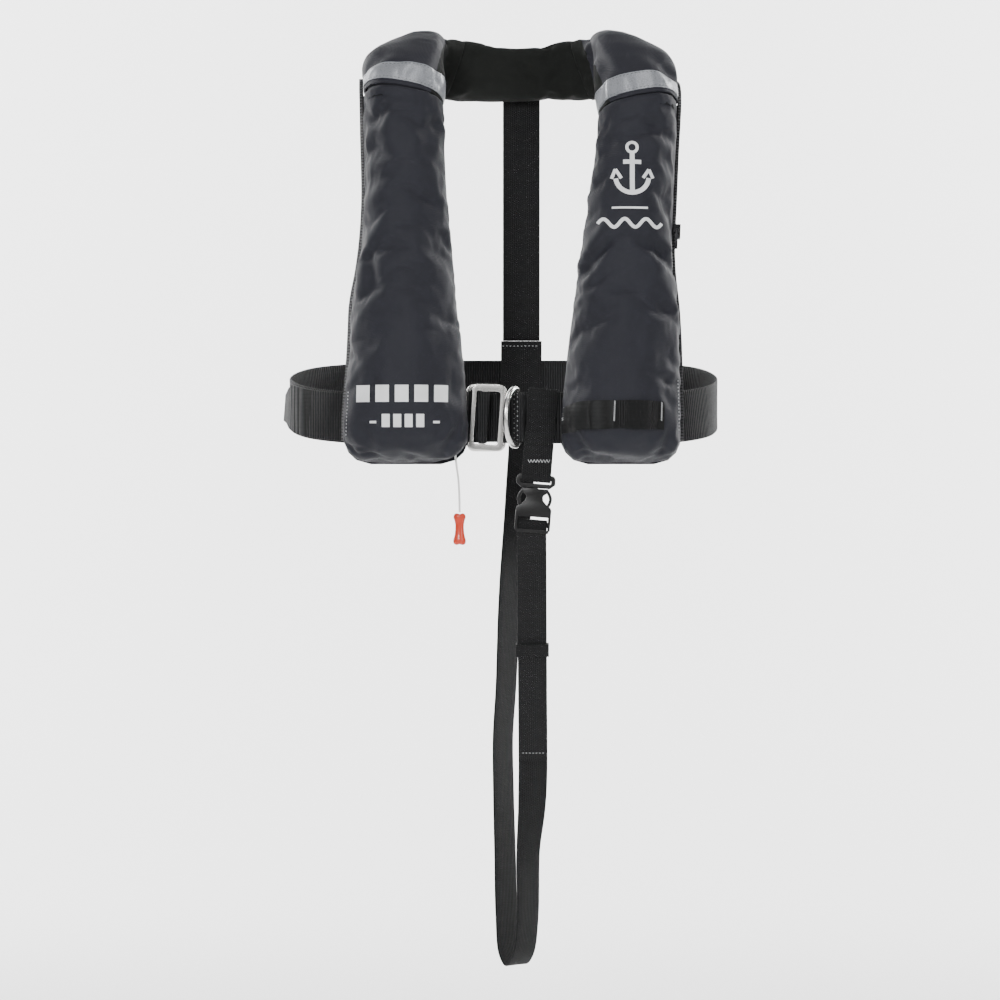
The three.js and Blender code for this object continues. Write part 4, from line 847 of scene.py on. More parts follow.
class JACKET_OT_stage(bpy.types.Operator):
    """Pale sweep, soft lights and the camera"""

    bl_idname = "jacket.stage"
    bl_label = "Stage"

    def execute(self, context):
        scene = context.scene
        camera = bpy.data.cameras.new("camera")
        camera.lens = 115.2
        camera.sensor_width = 36
        camera.clip_end = 50
        seen = bpy.data.objects.new("camera", camera)
        seen.location = (-0.018, -3.26, -0.435)
        seen.rotation_euler = Euler((math.pi / 2, 0, 0))
        scene.collection.objects.link(seen)
        scene.camera = seen
        self.sweep(scene)
        self.lights(scene)
        return {"FINISHED"}

    def sweep(self, scene):
        """A floor that curves up into a wall."""
        bm = bmesh.new()
        profile = [Vector((-9, -7, -1.12)), Vector((-9, 2.2, -1.12))]
        profile += [Vector((-9, 2.2 + 2 * math.sin(a), -1.12 + 2 - 2 * math.cos(a)))
                    for a in [math.pi / 2 * k / 12 for k in range(1, 13)]]
        profile.append(Vector((-9, 4.2, 6.5)))
        vertices = [bm.verts.new(p) for p in profile]
        edges = [bm.edges.new(pair) for pair in zip(vertices, vertices[1:])]
        extruded = bmesh.ops.extrude_edge_only(bm, edges=edges)
        moved = [item for item in extruded["geom"] if isinstance(item, bmesh.types.BMVert)]
        bmesh.ops.translate(bm, verts=moved, vec=(18, 0, 0))
        mesh = bpy.data.meshes.new("sweep")
        bm.to_mesh(mesh)
        bm.free()
        for polygon in mesh.polygons:
            polygon.use_smooth = True
        material, shader, coordinates = blank_material("pale sweep", 0.9)
        wear = group_node(material, "Handling", wear_group, coordinates.outputs["Object"], Patch_Scale=0.8,
                          Speck_Scale=30.0)
        mixed_colour(material, (0.93, 0.93, 0.93), (0.96, 0.96, 0.96), wear.outputs["Patch"], shader)
        mesh.materials.append(material)
        floor = bpy.data.objects.new("sweep", mesh)
        scene.collection.objects.link(floor)

    def lights(self, scene):
        world = bpy.data.worlds.new("studio")
        world.use_nodes = True
        world.node_tree.nodes["Background"].inputs["Color"].default_value = (1, 1, 1, 1)
        world.node_tree.nodes["Background"].inputs["Strength"].default_value = 0.3
        scene.world = world
        plans = [
            ("key", (-0.9, -2.8, 0.7), (0, -0.1, -0.3), 0.9, 62),
            ("fill", (1.8, -2.3, 0.1), (0, -0.1, -0.4), 1.2, 22),
            ("top", (0.2, -0.9, 1.9), (0, -0.05, -0.2), 1.0, 12),
            ("backdrop left", (-2.6, 1.6, 1.2), (-0.5, 4.0, 0.2), 2.2, 300),
            ("backdrop right", (2.6, 1.6, 1.2), (0.5, 4.0, 0.2), 2.2, 300),
        ]
        for name, place, target, size, power in plans:
            light = bpy.data.lights.new(name, "AREA")
            light.shape = "DISK"
            light.size = size
            light.energy = power
            lamp = bpy.data.objects.new(name, light)
            lamp.location = place
            lamp.rotation_euler = (Vector(target) - Vector(place)).to_track_quat("-Z", "Y").to_euler()
            scene.collection.objects.link(lamp)


CORD_ROUTE = [(-0.062061, -0.172092, -0.37283), (-0.062061, -0.172092, -0.382), (-0.0606, -0.1728, -0.397),
              (-0.0582, -0.1726, -0.415), (-0.0572, -0.1723, -0.432), (-0.057, -0.172, -0.4469)]


class JACKET_OT_pull_cord(bpy.types.Operator):
    """Pull cord and its bone-shaped toggle"""

    bl_idname = "jacket.pull_cord"
    bl_label = "Pull cord"

    def execute(self, context):
        toggle = self.toggle()
        points = catmull([Vector(p) for p in CORD_ROUTE], 4)
        curve = bpy.data.curves.new("pull_cord_line", "CURVE")
        curve.dimensions = "3D"
        curve.bevel_depth = 0.001
        curve.bevel_resolution = 3
        curve.use_fill_caps = True
        spline = curve.splines.new("POLY")
        spline.points.add(len(points) - 1)
        for place, point in zip(spline.points, points):
            place.co = (*point, 1)
        curve.materials.append(finishes()["white cord"])
        cord = bpy.data.objects.new("pull_cord_line", curve)
        context.scene.collection.objects.link(cord)
        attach(cord, "pull_handle")
        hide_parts("pull_cord")
        return {"FINISHED"}

    def toggle(self):
        """A turned bone shape with knobbed ends, flattened front to back."""
        top = Vector((-0.057, -0.172, -0.4472))
        profile = [(0.0, 0.0), (2.6, -0.1), (4.9, -0.9), (6.1, -2.8), (6.0, -5.2), (5.0, -7.6), (4.3, -10.5),
                   (4.15, -14.5), (4.4, -19.0), (5.2, -23.0), (6.2, -26.0), (6.4, -28.4), (5.5, -30.6),
                   (3.0, -31.7),
                   (0.0, -31.9)]
        bm = bmesh.new()
        vertices = [bm.verts.new((r * MM, 0, z * MM)) for r, z in profile]
        edges = [bm.edges.new(pair) for pair in zip(vertices, vertices[1:])]
        bmesh.ops.spin(bm, geom=vertices + edges, cent=(0, 0, 0), axis=(0, 0, 1), angle=math.tau, steps=28,
                       use_merge=True)
        bmesh.ops.remove_doubles(bm, verts=bm.verts, dist=0.00002)
        bmesh.ops.recalc_face_normals(bm, faces=bm.faces)
        for vertex in bm.verts:
            depth = vertex.co.z / MM
            notch = math.exp(-((abs(vertex.co.x) / MM) / 1.8) ** 2)
            if depth < -27 or depth > -4:
                vertex.co.z += (1 if depth < -27 else -1) * 1.5 * MM * notch
            vertex.co.y *= 0.75
        bmesh.ops.translate(bm, verts=bm.verts, vec=top)
        toggle = finished(bm, "pull_toggle_bone", "toggle plastic", "pull_handle", ("pull_toggle",))
        subdivision = toggle.modifiers.new("smooth", "SUBSURF")
        subdivision.levels = subdivision.render_levels = 1
        return toggle


class JACKET_OT_lobes(bpy.types.Operator):
    """The two lobe covers and the panels behind them"""

    bl_idname = "jacket.lobes"
    bl_label = "Lobes"

    def execute(self, context):
        for side in ("right", "left"):
            lobe_cover(side)
            self.panel(side)
        return {"FINISHED"}

    def panel(self, side):
        node = side + "_back_panel"
        bm = node_mesh(node)
        dissolve_flat(bm, math.radians(0.2))
        bevel_edges(bm, 0.9 * MM, 3, math.radians(50))
        bmesh.ops.triangulate(bm, faces=[f for f in bm.faces if len(f.verts) > 4])
        panel = finished(bm, node + "_mesh", "panel and shade-flap cloth", "root", (node,))
        shade_by_angle(panel, math.radians(35))


class JACKET_OT_shoulders(bpy.types.Operator):
    """The two shoulder sleeves"""

    bl_idname = "jacket.shoulders"
    bl_label = "Shoulders"

    def execute(self, context):
        folds = {
            "right": [((-0.082, -0.014), (-0.070, 0.010), 0.0022, 0.005),
                      ((-0.145, -0.006), (-0.128, 0.008), 0.0022, 0.006)],
            "left": [((0.074, 0.014), (0.088, -0.012), 0.0028, 0.005),
                     ((0.150, -0.020), (0.132, 0.004), 0.0024, 0.006),
                     ((0.083, -0.020), (0.080, -0.050), 0.0018, 0.004)],
        }
        for side, seed in (("right", 2.3), ("left", 9.1)):
            obj, planes = sleeve_cover(side + "_shoulder_cover", seed, 0.0014)
            for a, b, depth, width in folds[side]:
                fold(obj, a, b, depth, width)
            cut_at(obj, [(p + n * (0.0003 if abs(p.x) < 0.09 else -0.0002), n) for p, n in planes])
            self.collar_cloth_edge(obj, side)
            marks = [polygon.material_index for polygon in obj.data.polygons]
            cloth_piece(obj, side + "_shoulder_cloth", "cover cloth", "root", side + "_shoulder_cover")
            obj.data.materials.append(finishes()["collar cloth"])
            for polygon, mark in zip(obj.data.polygons, marks):
                polygon.material_index = mark
            self.shade_flap(side)
        return {"FINISHED"}

    def collar_cloth_edge(self, obj, side):
        """Marks the part of a shoulder that is made of the collar's cloth, beyond a clean seam."""
        low, high = ((-0.082, -0.020), (-0.0705, 0.038)) if side == "right" else ((0.0825, -0.025),
                                                                                  (0.062, 0.038))
        along = Vector((high[0] - low[0], 0, high[1] - low[1])).normalized()
        inward = Vector((along.z, 0, -along.x))
        if inward.x * low[0] > 0:
            inward = -inward
        point = Vector((low[0], 0, low[1]))
        obj.data.materials.clear()
        for unused in range(2):
            obj.data.materials.append(None)
        bm = bmesh.new()
        bm.from_mesh(obj.data)
        geometry = list(bm.verts) + list(bm.edges) + list(bm.faces)
        bmesh.ops.bisect_plane(bm, geom=geometry, plane_co=point, plane_no=inward)
        for face in bm.faces:
            face.material_index = 1 if (face.calc_center_median() - point).dot(inward) > 0 else 0
        bm.to_mesh(obj.data)
        bm.free()

    def shade_flap(self, side):
        """A dark sheet under the top edge of a lobe cover: painted shade for the gap there, which also keeps
        the inside out of sight.
        """
        point, normal = (Vector(v) for v in LOBES[side]["top"][:2])
        normal.normalize()
        bm = outer_skin(side + "_shoulder_cover")
        loop = min(boundary_loops(bm), key=lambda edges: abs((edges[0].verts[0].co - point).dot(normal)))
        ring = ring_points(loop)
        bm.free()
        middle = sum(ring, Vector()) / len(ring)
        front = [p for p in ring if above_seam(p) > 0.008]
        front.sort(key=lambda p: p.x)
        bm = bmesh.new()
        rows = []
        for distance, inset in ((0.006, 0.0030), (0.0, 0.0028), (-0.006, 0.0030), (-0.013, 0.0034)):
            rows.append([bm.verts.new(p + (middle - p).normalized() * inset + normal * distance)
                         for p in front])
        for low, high in zip(rows, rows[1:]):
            for k in range(len(front) - 1):
                bm.faces.new((low[k], low[k + 1], high[k + 1], high[k]))
        bmesh.ops.recalc_face_normals(bm, faces=bm.faces)
        bmesh.ops.solidify(bm, geom=list(bm.faces), thickness=0.0006)
        # The sheet's dark cloth is painted shade for the gap under the lobe's top edge.
        finished(bm, side + "_top_shade_flap", "panel and shade-flap cloth", "root")


class JACKET_OT_collar(bpy.types.Operator):
    """The padded collar with its pleats"""

    bl_idname = "jacket.collar"
    bl_label = "Collar"

    def execute(self, context):
        obj, planes = sleeve_cover("collar_cover", 4.4, 0.0012)
        for a, b, depth, width in [
                ((0.001, 0.021), (0.003, 0.002), 0.0034, 0.004),
            ((0.033, 0.024), (0.031, 0.008), 0.0030, 0.004),
                ((-0.018, 0.022), (-0.016, 0.008), 0.0014, 0.004),
            ((-0.048, 0.000), (-0.012, -0.006), 0.0014, 0.0025),
                ((-0.012, -0.006), (0.030, -0.005), 0.0014, 0.0025),
            ((0.030, -0.005), (0.058, -0.001), 0.0014, 0.0025)]:
            fold(obj, a, b, depth, width)
        cut_at(obj, [(p + n * 0.0003, n) for p, n in planes])
        cloth_piece(obj, "collar_cloth", "collar cloth", "root", "collar_cover")
        return {"FINISHED"}


class JACKET_OT_bladder(bpy.types.Operator):
    """The folded bladder inside the covers"""

    bl_idname = "jacket.bladder"
    bl_label = "Bladder"

    def execute(self, context):
        bm = node_mesh("bladder")
        obj = remeshed(bm, "bladder", 0.006)
        rumpled(obj, 0.0016, 30.0, (1.6, 1.0, 0.4), 5.5)
        obj.name = "bladder_folds"
        obj.data.materials.append(finishes()["bladder cloth"])
        for polygon in obj.data.polygons:
            polygon.use_smooth = True
        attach(obj, "root")
        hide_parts("bladder")
        return {"FINISHED"}


def outer_sheet(node):
    """The outer faces of a thin sheet that lies over a lobe or a shoulder."""
    bm = node_mesh(node)
    edges = [edge for edge in bm.edges
             if len(edge.link_faces) == 2 and edge.calc_face_angle(0) > math.radians(50)]
    bmesh.ops.split_edges(bm, edges=edges)
    seen, islands = set(), []
    for face in bm.faces:
        if face in seen:
            continue
        stack, island = [face], []
        seen.add(face)
        while stack:
            current = stack.pop()
            island.append(current)
            for edge in current.edges:
                for other in edge.link_faces:
                    if other not in seen:
                        seen.add(other)
                        stack.append(other)
        islands.append(island)
    islands.sort(key=lambda island: -sum(face.calc_area() for face in island))
    keep = set(islands[0])
    bmesh.ops.delete(bm, geom=[face for face in bm.faces if face not in keep], context="FACES")
    return bm


def from_outside(tree, point, normal):
    """The outer face of the surface in the tree that lies under a point, seen along its normal."""
    hit = tree.ray_cast(point + normal * 0.03, -normal, 0.06)
    return hit if hit[0] is not None else tree.find_nearest(point)


def laid_on(bm, tree, lift):
    """Pulls a sheet's vertices onto the outside of the surface in the tree, at a height above it."""
    bm.normal_update()
    hits = [from_outside(tree, vertex.co, vertex.normal) for vertex in bm.verts]
    for vertex, (place, normal, index, distance) in zip(bm.verts, hits):
        vertex.co = place + normal * lift


def thickened(bm, thick):
    """Gives a sheet a thickness outward."""
    bmesh.ops.recalc_face_normals(bm, faces=bm.faces)
    bmesh.ops.solidify(bm, geom=list(bm.faces), thickness=thick)
    bmesh.ops.recalc_face_normals(bm, faces=bm.faces)


def spaced(line, count):
    """Points spaced evenly along a line of points."""
    lengths = [0.0]
    for a, b in zip(line, line[1:]):
        lengths.append(lengths[-1] + (b - a).length)
    points, k = [], 0
    for step in range(count):
        reach = lengths[-1] * step / (count - 1)
        while k < len(line) - 2 and lengths[k + 1] < reach:
            k += 1
        share = (reach - lengths[k]) / max(lengths[k + 1] - lengths[k], 1e-9)
        points.append(line[k].lerp(line[k + 1], min(max(share, 0), 1)))
    return points


def long_edges(bm):
    """A sheet's two long edges, each as points from end to end."""
    loop = boundary_loops(bm)[0]
    points = ring_points(loop)
    turns = []
    count = len(points)
    for i, point in enumerate(points):
        a = (point - points[i - 1]).normalized()
        b = (points[(i + 1) % count] - point).normalized()
        turns.append((a.dot(b), i))
    corners = sorted(i for turn, i in sorted(turns)[:4])
    runs = []
    for start, stop in zip(corners, corners[1:] + [corners[0] + count]):
        runs.append([points[k % count] for k in range(start, stop + 1)])
    runs.sort(key=lambda run: -sum((b - a).length for a, b in zip(run, run[1:])))
    return runs[:2]


def even_sheet(node, up, columns, count, start, stop):
    """A sheet's outer face as an even grid between two shares of its width, with its rows."""
    sheet = outer_sheet(node)
    sheet.normal_update()
    low, high = (spaced(line, columns) for line in long_edges(sheet))
    outer = BVHTree.FromBMesh(sheet)
    sheet.free()
    if (high[columns // 2] - low[columns // 2]).dot(up) < 0:
        low, high = high, low
    if (low[0] - high[0]).length > (low[0] - high[-1]).length:
        high.reverse()
    bm = bmesh.new()
    rows = []
    for k in range(count):
        share = start + (stop - start) * k / (count - 1)
        rows.append([bm.verts.new(p.lerp(q, share)) for p, q in zip(low, high)])
    for lower, upper in zip(rows, rows[1:]):
        for k in range(columns - 1):
            bm.faces.new((lower[k], lower[k + 1], upper[k + 1], upper[k]))
    bm.normal_update()
    agreement = sum(face.normal.dot(outer.find_nearest(face.calc_center_median())[1]) for face in bm.faces)
    if agreement < 0:
        bmesh.ops.reverse_faces(bm, faces=bm.faces)
    return bm, rows


class JACKET_OT_tapes(bpy.types.Operator):
    """Reflective tapes and their stitching"""

    bl_idname = "jacket.tapes"
    bl_label = "Tapes"

    def execute(self, context):
        for side in ("right", "left"):
            node = side + "_reflective_tape"
            shoulder = bpy.data.objects[side + "_shoulder_cloth"]
            tree = surface_tree([shoulder])
            up = Vector(LOBES[side]["top"][1]).normalized()
            bm, rows = even_sheet(node, up, 96, 11, 0.06, 0.82)
            laid_on(bm, tree, 0.0007)
            edges = [[v.co.copy() for v in rows[0]], [v.co.copy() for v in rows[-1]]]
            thickened(bm, 0.0008)
            tape = finished(bm, node + "_band", "silver tape", "root", (node,))
            shade_by_angle(tape, math.radians(40))
            over = surface_tree([tape])
            sewn = bmesh.new()
            middle = sum((sum(line, Vector()) / len(line) for line in edges), Vector()) / len(edges)
            for line in edges:
                centre = sum(line, Vector()) / len(line)
                inward = (middle - centre).normalized() * 0.0022
                stitch_line(sewn, [p + inward for p in line], over, 0.0024, 0.0014, 0.00045, 0.0001)
            finished(sewn, node + "_stitching", "grey thread", "root")
        return {"FINISHED"}


# The lobes' outer rims, from low to high, where the zips run.
ZIP_RUNS = {
    "right": [(-168.5, -163.2, -377), (-168.49, -158.2, -352.7), (-166.5, -153.2, -325.1),
              (-164.5, -148.2, -297.5),
              (-163.4, -143.1, -269.9), (-162.2, -138.1, -242.3), (-157.2, -133.1, -214.8),
              (-153.6, -128.1, -187.2),
              (-151.6, -123.1, -159.6), (-151, -118.1, -132), (-151.7, -113.1, -104.8),
              (-152.7, -108.1, -77.3),
              (-153.4, -103.8, -46.4), (-154.3, -91.7, -21.7), (-154.2, -71.8, -16.4), (-144.5, -43, -14.7)],
    "left": [(156.5, -163.2, -377), (156.9, -158.3, -353.3), (156.6, -153.4, -326.4), (156.2, -148.5, -299.4),
             (155.5, -143.6, -272.4), (154, -138.7, -245.5), (151.2, -133.8, -218.5), (150, -128.9, -191.5),
             (151.2, -124, -164.7), (152.7, -119.1, -137.8), (154, -114.4, -111.3), (155.4, -109.5, -84.5),
             (157.5, -105, -50.8), (158.1, -92.2, -29.3), (156.2, -76.3, -19.4), (147.8, -52.5, -14.1)],
}


class JACKET_OT_zips(bpy.types.Operator):
    """Zip ribbons, teeth, slider and pull"""

    bl_idname = "jacket.zips"
    bl_label = "Zips"

    def execute(self, context):
        for side, sign in (("right", -1), ("left", 1)):
            node = side + "_zip"
            rim = catmull([Vector(p) * MM for p in ZIP_RUNS[side]], 5)
            ribbon = webbing_run(node + "_ribbon", [(p + Vector((sign * 1.2 * MM, 0.9 * MM, 0)), (1, 0, 0))
                                                    for p in rim[::3]],
                                 0.0042, 0.0018, "zip polymer", "root", (node,), 2)
            self.teeth(context, rim, sign, node)
        hard_piece("zip_slider", "blackened steel", "slider", 0.25 * MM, 2)
        hard_piece("zip_pull", "blackened steel", "pull_tab", 0.3 * MM, 2)
        return {"FINISHED"}

    def teeth(self, context, rim, sign, node):
        pitch = context.scene.jacket_sizes.tooth_pitch
        bm = bmesh.new()
        travelled, due = 0.0, pitch
        for a, b in zip(rim, rim[1:]):
            length = (b - a).length
            while due <= travelled + length:
                place = a.lerp(b, (due - travelled) / length)
                ahead = (b - a).normalized()
                side = (Vector((sign, 0, 0)) - ahead * ahead.x * sign).normalized()
                front = side.cross(ahead)
                if front.y > 0:
                    front = -front
                centre = place + side * 1.6 * MM + front * 0.3 * MM
                matrix = Matrix.Translation(centre) @ Matrix((
                    (side.x, ahead.x, front.x, 0), (side.y, ahead.y, front.y, 0),
                    (side.z, ahead.z, front.z, 0),
                    (0, 0, 0, 1))) @ Matrix.Diagonal((2.4 * MM, 1.5 * MM, 1.4 * MM, 1))
                bmesh.ops.create_cube(bm, size=1.0, matrix=matrix)
                due += pitch
            travelled += length
        bevel_edges(bm, 0.2 * MM, 1)
        finished(bm, node + "_teeth", "zip teeth", "root", smooth=False)


def belt_z(y):
    return -0.355 + (y + 0.147) * 0.039 / 0.192


BELT_PLAN = [(-52.5, -147), (-80, -147), (-110, -147), (-140, -146.8), (-170, -143), (-208, -116),
             (-227, -62),
             (-205, 0), (-140, 34), (-60, 44.4), (-20, 45), (4, 45), (30, 45), (72, 44), (135, 32), (180, 0),
             (198, -58), (186, -112), (155, -141), (125, -146.8), (100, -147), (40, -147), (10, -147),
             (-8.6, -147)]


class JACKET_OT_belt(bpy.types.Operator):
    """Waist belt, its tail, carriers and sewn ends"""

    bl_idname = "jacket.belt"
    bl_label = "Belt"

    def execute(self, context):
        route = [((x * MM, y * MM, belt_z(y * MM)), (0, 0, 1)) for x, y in BELT_PLAN]
        webbing_run("waist_belt_webbing", route, 0.050, 0.002, "belt webbing", "root", ("waist_belt",), 6,
                    0.0006)
        tail = webbing_copy("belt_tail", "belt webbing", "root", False)
        for vertex in tail.data.vertices:
            share = smooth_share(-vertex.co.x, 0.2235, 0.2385)
            vertex.co.z += (-0.350 - vertex.co.z) * 0.45 * share
            vertex.co.x += 0.0045 * share
        for node in ("right_belt_carrier", "left_belt_carrier"):
            webbing_copy(node, "strap webbing", "root", True)
        webbing_copy("frame_webbing", "belt webbing", "root", False)
        if "buckle_backing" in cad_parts:
            webbing_copy("buckle_backing", "belt webbing", "root", False)
        webbing_copy("belt_right_end", "belt webbing", "plate", False)
        webbing_copy("ring_webbing", "belt webbing", "root", False)
        self.accessory_strip()
        return {"FINISHED"}

    def accessory_strip(self):
        """The row of webbing loops, tacked at three places and slack between them."""
        tree = surface_tree([bpy.data.objects["left_lobe_cover_cloth"]])
        bm = even_sheet("accessory_strip", Vector((0, 0, 1)), 120, 11, 0.0, 1.0)[0]
        bmesh.ops.bisect_plane(bm, geom=list(bm.verts) + list(bm.edges) + list(bm.faces),
                               plane_co=(0.1388, 0, 0), plane_no=(1, 0, 0), clear_outer=True)
        bmesh.ops.translate(bm, verts=bm.verts, vec=(0, 0, 0.0045))
        bm.normal_update()
        hits = [from_outside(tree, vertex.co, vertex.normal) for vertex in bm.verts]
        tacks = (40.5, 92.4, 137.2)
        for vertex, (place, normal, index, distance) in zip(bm.verts, hits):
            near = min(abs(vertex.co.x / MM - tack) for tack in tacks)
            slack = smooth_share(near, 3, 16) * 2.2 * MM * smooth_share(-normal.y, 0.1, 0.6)
            vertex.co = place + normal * (0.9 * MM + slack)
        thickened(bm, 1.5 * MM)
        angles = sorted((math.atan2(above_seam(v.co), v.co.x - 0.0985), v.co.copy()) for v in bm.verts
                        if abs(v.co.z + 0.360) < 0.006)
        lengths, total = [], 0.0
        for (before, p), (after, q) in zip(angles, angles[1:]):
            if after - before > 0.01:
                total += math.hypot(q.x - p.x, q.y - p.y)
                lengths.append((after, total))

        def arc(p, n):
            angle = math.atan2(above_seam(p), p.x - 0.0985)
            low = (0.0, 0.0)
            for high in lengths:
                if high[0] > angle:
                    share = (angle - low[0]) / (high[0] - low[0])
                    return p.z, low[1] + (high[1] - low[1]) * share
                low = high
            return p.z, low[1]

        set_uv(bm, arc)
        strip = finished(bm, "accessory_strip_webbing", "loop webbing with painted shade", "left_cover", ("accessory_strip",))
        shade_by_angle(strip, math.radians(40))
        return strip


class JACKET_OT_back_strap(bpy.types.Operator):
    """Back strap and the loop that carries the belt"""

    bl_idname = "jacket.back_strap"
    bl_label = "Back strap"

    def execute(self, context):
        route = [(27.5, 10), (27.5, -8), (28.5, -40), (34, -110), (40, -190), (44, -245), (45, -270.7)]
        webbing_run("back_strap_webbing", [((0.004, y * MM, z * MM), (1, 0, 0)) for y, z in route], 0.038,
                    0.002,
                    "strap webbing", "root", ("back_strap",), 8)
        webbing_copy("back_strap_loop", "strap webbing", "root", True)
        return {"FINISHED"}


STRAP_START = Vector((12.856, -144.7, -466.225))
STRAP_END = Vector((14.6, -96, -700))


class JACKET_OT_crotch_strap(bpy.types.Operator):
    """Crotch strap with its loop, tail and keeper"""

    bl_idname = "jacket.crotch_strap"
    bl_label = "Crotch strap"

    def execute(self, context):
        run = (STRAP_END - STRAP_START).normalized()
        chosen = [(STRAP_START, (1, 0, 0)), (STRAP_START + run * 80, (1, 0, 0)),
                  (STRAP_START + run * 160, (1, 0, 0)),
                  (STRAP_END, (1, 0, 0)), ((13.4, -89, -742), (0.95, 0.3, 0)),
                  ((10, -80, -785), (0.82, 0.57, 0)),
                  ((9.5, -73, -850), (0.77, 0.64, 0)), ((5, -67, -888), (0.77, 0.64, 0)),
                  ((-2, -60, -899), (0.77, 0.64, 0)), ((-8.5, -53, -888), (0.77, 0.64, 0)),
                  ((-11.5, -48, -850), (0.77, 0.64, 0)), ((-13, -40, -788), (0.75, 0.66, 0)),
                  ((-14.5, -28, -728), (0.72, 0.69, 0)), ((-15, -14, -676), (0.7, 0.71, 0)),
                  ((-12, -2, -626), (0.72, 0.69, 0)), ((-8, 14, -537), (0.8, 0.6, 0)),
                  ((0, 34, -450), (0.95, 0.3, 0)), ((4, 44, -397), (1, 0, 0)), ((5, 45, -379), (1, 0, 0)),
                  ((5, 45, -362), (1, 0, 0)), ((5, 45, -343), (1, 0, 0))]
        route = [(Vector(p) * MM, w) for p, w in chosen]
        webbing_run("crotch_strap_webbing", route, 0.0285, 0.0018, "crotch webbing", "root",
                    ("crotch_strap",), 8)
        webbing_copy("strap_tail", "crotch webbing", "socket", True)
        webbing_copy("strap_keeper", "crotch webbing", "keeper", False)
        webbing_copy("crotch_upper_loop", "crotch webbing", "root", True)
        return {"FINISHED"}


class JACKET_OT_steel(bpy.types.Operator):
    """Steel buckle and D-ring"""

    bl_idname = "jacket.steel"
    bl_label = "Steel buckle"

    def execute(self, context):
        hard_piece("buckle_plate", "satin steel", "plate", 1.0 * MM, 4)
        for node, body in (("buckle_frame", "root"), ("d_ring", "ring")):
            bm = node_mesh(node)
            wire = finished(bm, node + "_wire", "satin steel", body, (node,))
            subdivision = wire.modifiers.new("smooth", "SUBSURF")
            subdivision.levels = subdivision.render_levels = 2
        return {"FINISHED"}


class JACKET_OT_release_buckle(bpy.types.Operator):
    """Side-release buckle of the crotch strap"""

    bl_idname = "jacket.release_buckle"
    bl_label = "Release buckle"

    def execute(self, context):
        for node, body, width in (("buckle_plug", "root", 0.6), ("plug_right_arm", "right_arm", 0.5),
                                  ("plug_left_arm", "left_arm", 0.5), ("buckle_socket", "socket", 0.6)):
            hard_piece(node, "black acetal", body, width * MM, 3)
        return {"FINISHED"}


class JACKET_OT_inflator(bpy.types.Operator):
    """Inflator, cylinder, oral tube and whistle"""

    bl_idname = "jacket.inflator"
    bl_label = "Inflator"

    def execute(self, context):
        pieces = [
            ("inflator_body", "black acetal", "root", "black_plastic"),
            ("inflator_manifold", "black acetal", "root", "black_plastic"),
            ("co2_cylinder", "satin steel", "cylinder", "steel"),
            ("auto_cartridge_cap", "indicator green", "cartridge_cap", "green_plastic"),
            ("firing_lever", "toggle plastic", "lever", "orange_plastic"),
            ("lever_pin", "satin steel", "root", "steel"),
            ("oral_tube", "black acetal", "root", "black_plastic"),
            ("oral_tube_cap", "black acetal", "oral_cap", "black_plastic"),
            ("whistle", "toggle plastic", "root", "orange_plastic"),
        ]
        for node, material, body, slot in pieces:
            hard_piece(node, material, body, 0.5 * MM, 2)
        return {"FINISHED"}


def from_front(px, py, depth):
    """A point of the jacket from its place in the front view, in thousandths of it, and its depth."""
    scale = 3200 / (3200 + depth + 60)
    return Vector(((px - 500) / scale - 18, depth, (500 - py) / scale - 435)) * MM


def stroke(bm, tree, line, width, lift=0.00025, columns=3, closed=False, depth=-190):
    """A printed line: a thin film laid on the cloth as seen from the front. line holds front-view places."""
    points = [from_front(x, y, depth) for x, y in line]
    dense = []
    pairs = list(zip(points, points[1:] + (points[:1] if closed else [])))
    pairs = pairs if closed else pairs[:len(points) - 1]
    for a, b in pairs:
        steps = max(int((b - a).length / 0.0016), 1)
        dense += [a.lerp(b, k / steps) for k in range(steps)]
    if not closed:
        dense.append(points[-1])
    rows = []
    count = len(dense)
    for i, point in enumerate(dense):
        after = dense[(i + 1) % count] if closed else dense[min(i + 1, count - 1)]
        before = dense[i - 1] if closed or i else dense[0]
        ahead = (after - before).normalized()
        side = Vector((ahead.z, 0, -ahead.x))
        row = []
        for k in range(columns + 1):
            start = point + side * width * (k / columns - 0.5) + Vector((0, -0.2, 0))
            place, normal, index, distance = tree.ray_cast(start, Vector((0, 1, 0)))
            row.append(bm.verts.new(place + normal * lift) if place is not None else None)
        rows.append(row)
    for low, high in zip(rows, rows[1:] + ([rows[0]] if closed else [])):
        for k in range(columns):
            corners = (low[k], low[k + 1], high[k + 1], high[k])
            if all(corners):
                bm.faces.new(corners)


